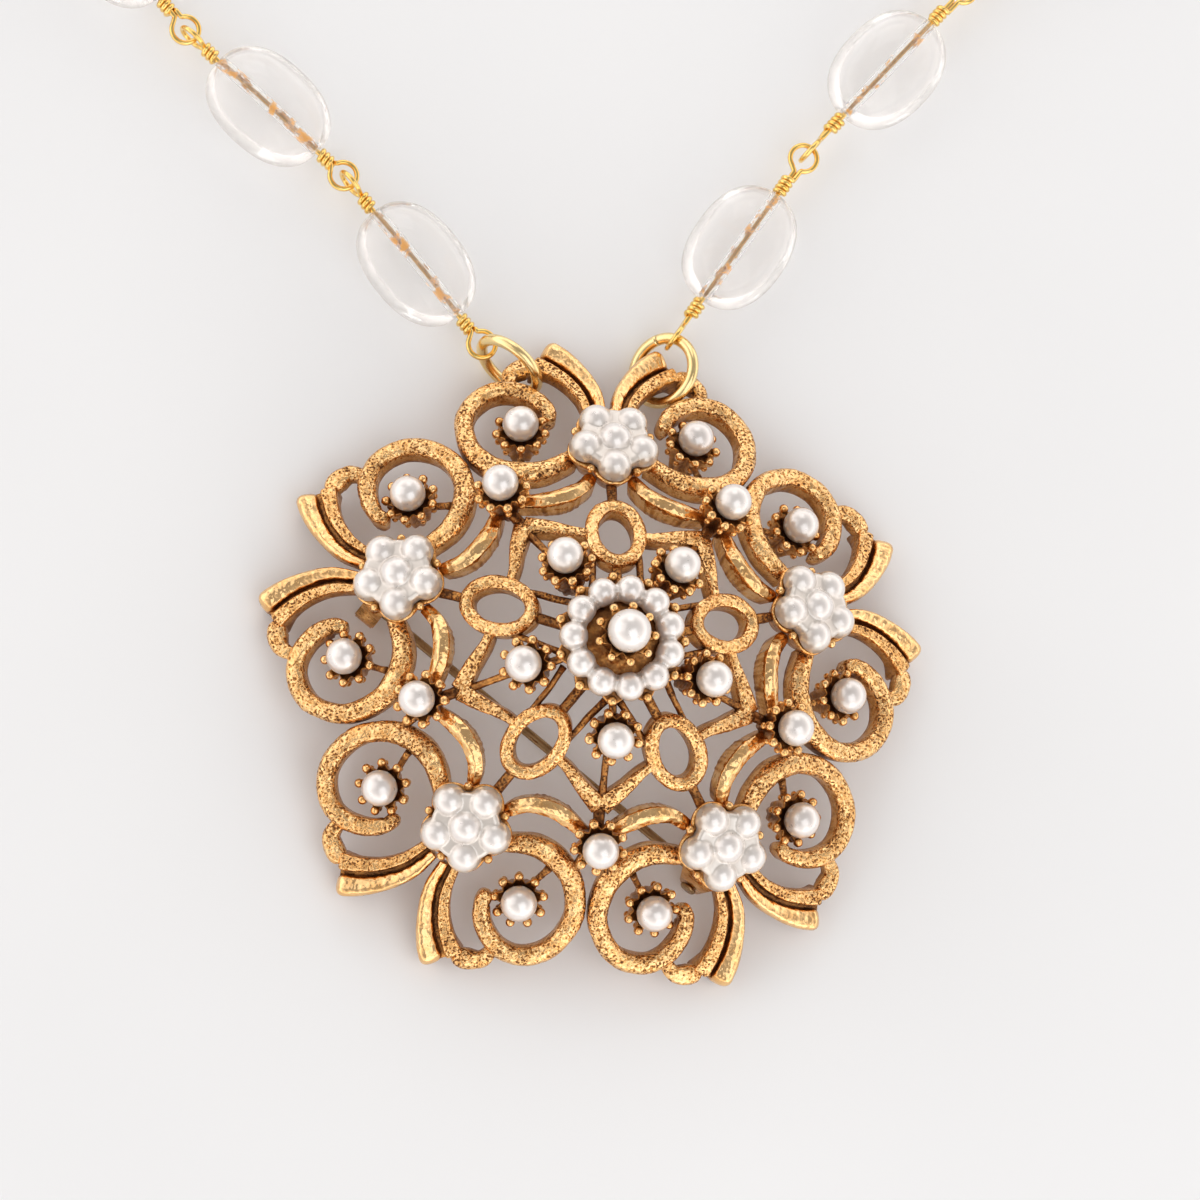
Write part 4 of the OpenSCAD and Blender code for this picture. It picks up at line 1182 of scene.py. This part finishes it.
EYE, BEND, SHANK, TIP, CLASP_WIRE = 1.35, 1.5, 10.8, 2.6, 0.5
clasp_at = (LEFT_END[0] + EYE - 0.35, LEFT_END[1], CHAIN_HEIGHT - 0.1)
eye_path = circle(np.radians(np.linspace(8, 352, 60)), EYE)
shank_path = [(x, 0, 0) for x in np.linspace(EYE, SHANK, 30)]
shank_path += [circle(a, BEND) + [SHANK, BEND, 0] for a in np.radians(np.linspace(-90, 90, 30))[1:]]
shank_path += [(x, 2 * BEND, 0) for x in np.linspace(SHANK, SHANK - TIP, 12)[1:]]
hook = [tube(eye_path, CLASP_WIRE), tube(shank_path, CLASP_WIRE)]
hook.append(ball((SHANK - TIP, 2 * BEND, 0), CLASP_WIRE, detail=4))
hook = [shell.moved(turn_z(-7.5), clasp_at) for shell in hook]
piece("clasp_hook_dressed", hook, WIRE, nodes=["clasp_hook"])
CLASP_RING, CLASP_RING_WIRE = 2.3, 0.45
ring_at = (RIGHT_END[0] - CLASP_RING + 0.3, RIGHT_END[1], CLASP_RING + CLASP_RING_WIRE)
ring = split_ring(CLASP_RING, CLASP_RING_WIRE, turn_x(90), ring_at, 90)
piece("clasp_ring_dressed", [ring], WIRE, nodes=["clasp_ring"])

# Camera: the photograph's view, which looks down at the brooch from 15 degrees off the vertical
TILT, TILT_TOWARDS, SPIN = 15.0, 48.72, -3.6
DISTANCE, HALF_VIEW = 700.0, 51.42
OFFSET = np.array([0.49, -4.86, 0])  # of the brooch's middle, to the right and up in the picture
FLOWER_LEVEL = 10.3
SENSOR = 36
# The brooch's z axis and then all of its axes, in the camera's own: to the right, up and towards the camera
tilt = math.radians(TILT)
z_seen = circle(math.radians(TILT_TOWARDS), math.sin(tilt), math.cos(tilt))
x, y, _ = np.cross([0, 0, 1], z_seen)
cross = np.array([[0, 0, y], [0, 0, -x], [-y, x, 0]])
view_matrix = (np.eye(3) + cross + cross @ cross / (1 + z_seen[2])) @ turn_z(SPIN)
eye_point = view_matrix.T @ ([0, 0, DISTANCE] - OFFSET) + [0, 0, FLOWER_LEVEL]
camera = bpy.data.objects.new("camera", bpy.data.cameras.new("camera"))
bpy.context.scene.collection.objects.link(camera)
placed = Matrix([[*view_matrix[:, i], 0] for i in range(3)] + [[0, 0, 0, 1]])
camera.matrix_world = Matrix.Translation(Vector(row(eye_point))) @ placed
camera.data.sensor_width = SENSOR
camera.data.lens = SENSOR * DISTANCE / (2 * HALF_VIEW)
camera.data.clip_start, camera.data.clip_end = 0.01, 20
bpy.context.scene.camera = camera

# Floor, in metres, just under the part
FLOOR_HALF, FLOOR_LEVEL = 1.5, -0.00003
corners = [(x * FLOOR_HALF, y * FLOOR_HALF, FLOOR_LEVEL) for x, y in ((-1, -1), (1, -1), (1, 1), (-1, 1))]
floor_mesh = bpy.data.meshes.new("floor")
floor_mesh.from_pydata(corners, [], [(0, 1, 2, 3)])
floor = bpy.data.objects.new("floor", floor_mesh)
bpy.context.scene.collection.objects.link(floor)
paper, nt, bsdf = tree("floor_paper")
tone = ramp(nt, noise_of(nt, 60.0, 2.0), [(0.3, (0.83, 0.852, 0.868)), (0.7, (0.86, 0.882, 0.898))])
set_all(bsdf, Base_Color=tone, Roughness=0.7, Specular_IOR_Level=0.2)
# The floor glows a little, in a warm tone: painted light that keeps the shade under the brooch pale
set_all(bsdf, Emission_Color=(1.0, 0.76, 0.63, 1), Emission_Strength=0.055)
floor_mesh.materials.append(paper)

LAMPS_AIM = (0, 15, 8)


def softbox(name, direction, distance, size, power, colour=(1, 1, 1)):
    """A square lamp. direction is in the camera's axes: to the right, up and towards the camera."""
    data = bpy.data.lights.new(name, "AREA")
    data.shape, data.size, data.energy, data.color = "SQUARE", size, power, colour
    obj = bpy.data.objects.new(name, data)
    bpy.context.scene.collection.objects.link(obj)
    aim = Vector(unit(view_matrix.T @ direction))
    obj.location = Vector(row(LAMPS_AIM)) + aim * distance
    obj.rotation_euler = aim.to_track_quat("Z", "Y").to_euler()


softbox("key", (0.36, -0.26, 0.9), 0.9, 0.7, 1.8, (0.93, 0.965, 1.0))
softbox("fill", (-0.65, 0.3, 0.7), 1.0, 0.8, 1.35, (1.0, 0.975, 0.97))
softbox("rear", (0.1, 0.9, 0.45), 1.1, 0.5, 0.8)
softbox("front", (0.4, -0.8, 0.5), 1.0, 0.5, 0.9, (1.0, 0.975, 0.96))

SKY_STOPS = [  # from the horizon to straight above
    (0.0, (1.0, 0.95, 0.925)),
    (0.25, (0.66, 0.625, 0.605)),
    (0.7, (0.23, 0.222, 0.216)),
    (1.0, (0.17, 0.165, 0.163)),
]
world = bpy.data.worlds.new("studio")
bpy.context.scene.world = world
world.use_nodes = True
nt = world.node_tree
direction = node(nt, "ShaderNodeTexCoord").outputs["Generated"]
rise = node(nt, "ShaderNodeSeparateXYZ", {0: direction}).outputs[2]
put(nt.nodes["Background"], {"Color": ramp(nt, rise, SKY_STOPS), "Strength": 2.2})
bpy.context.scene.view_settings.view_transform = "Standard"
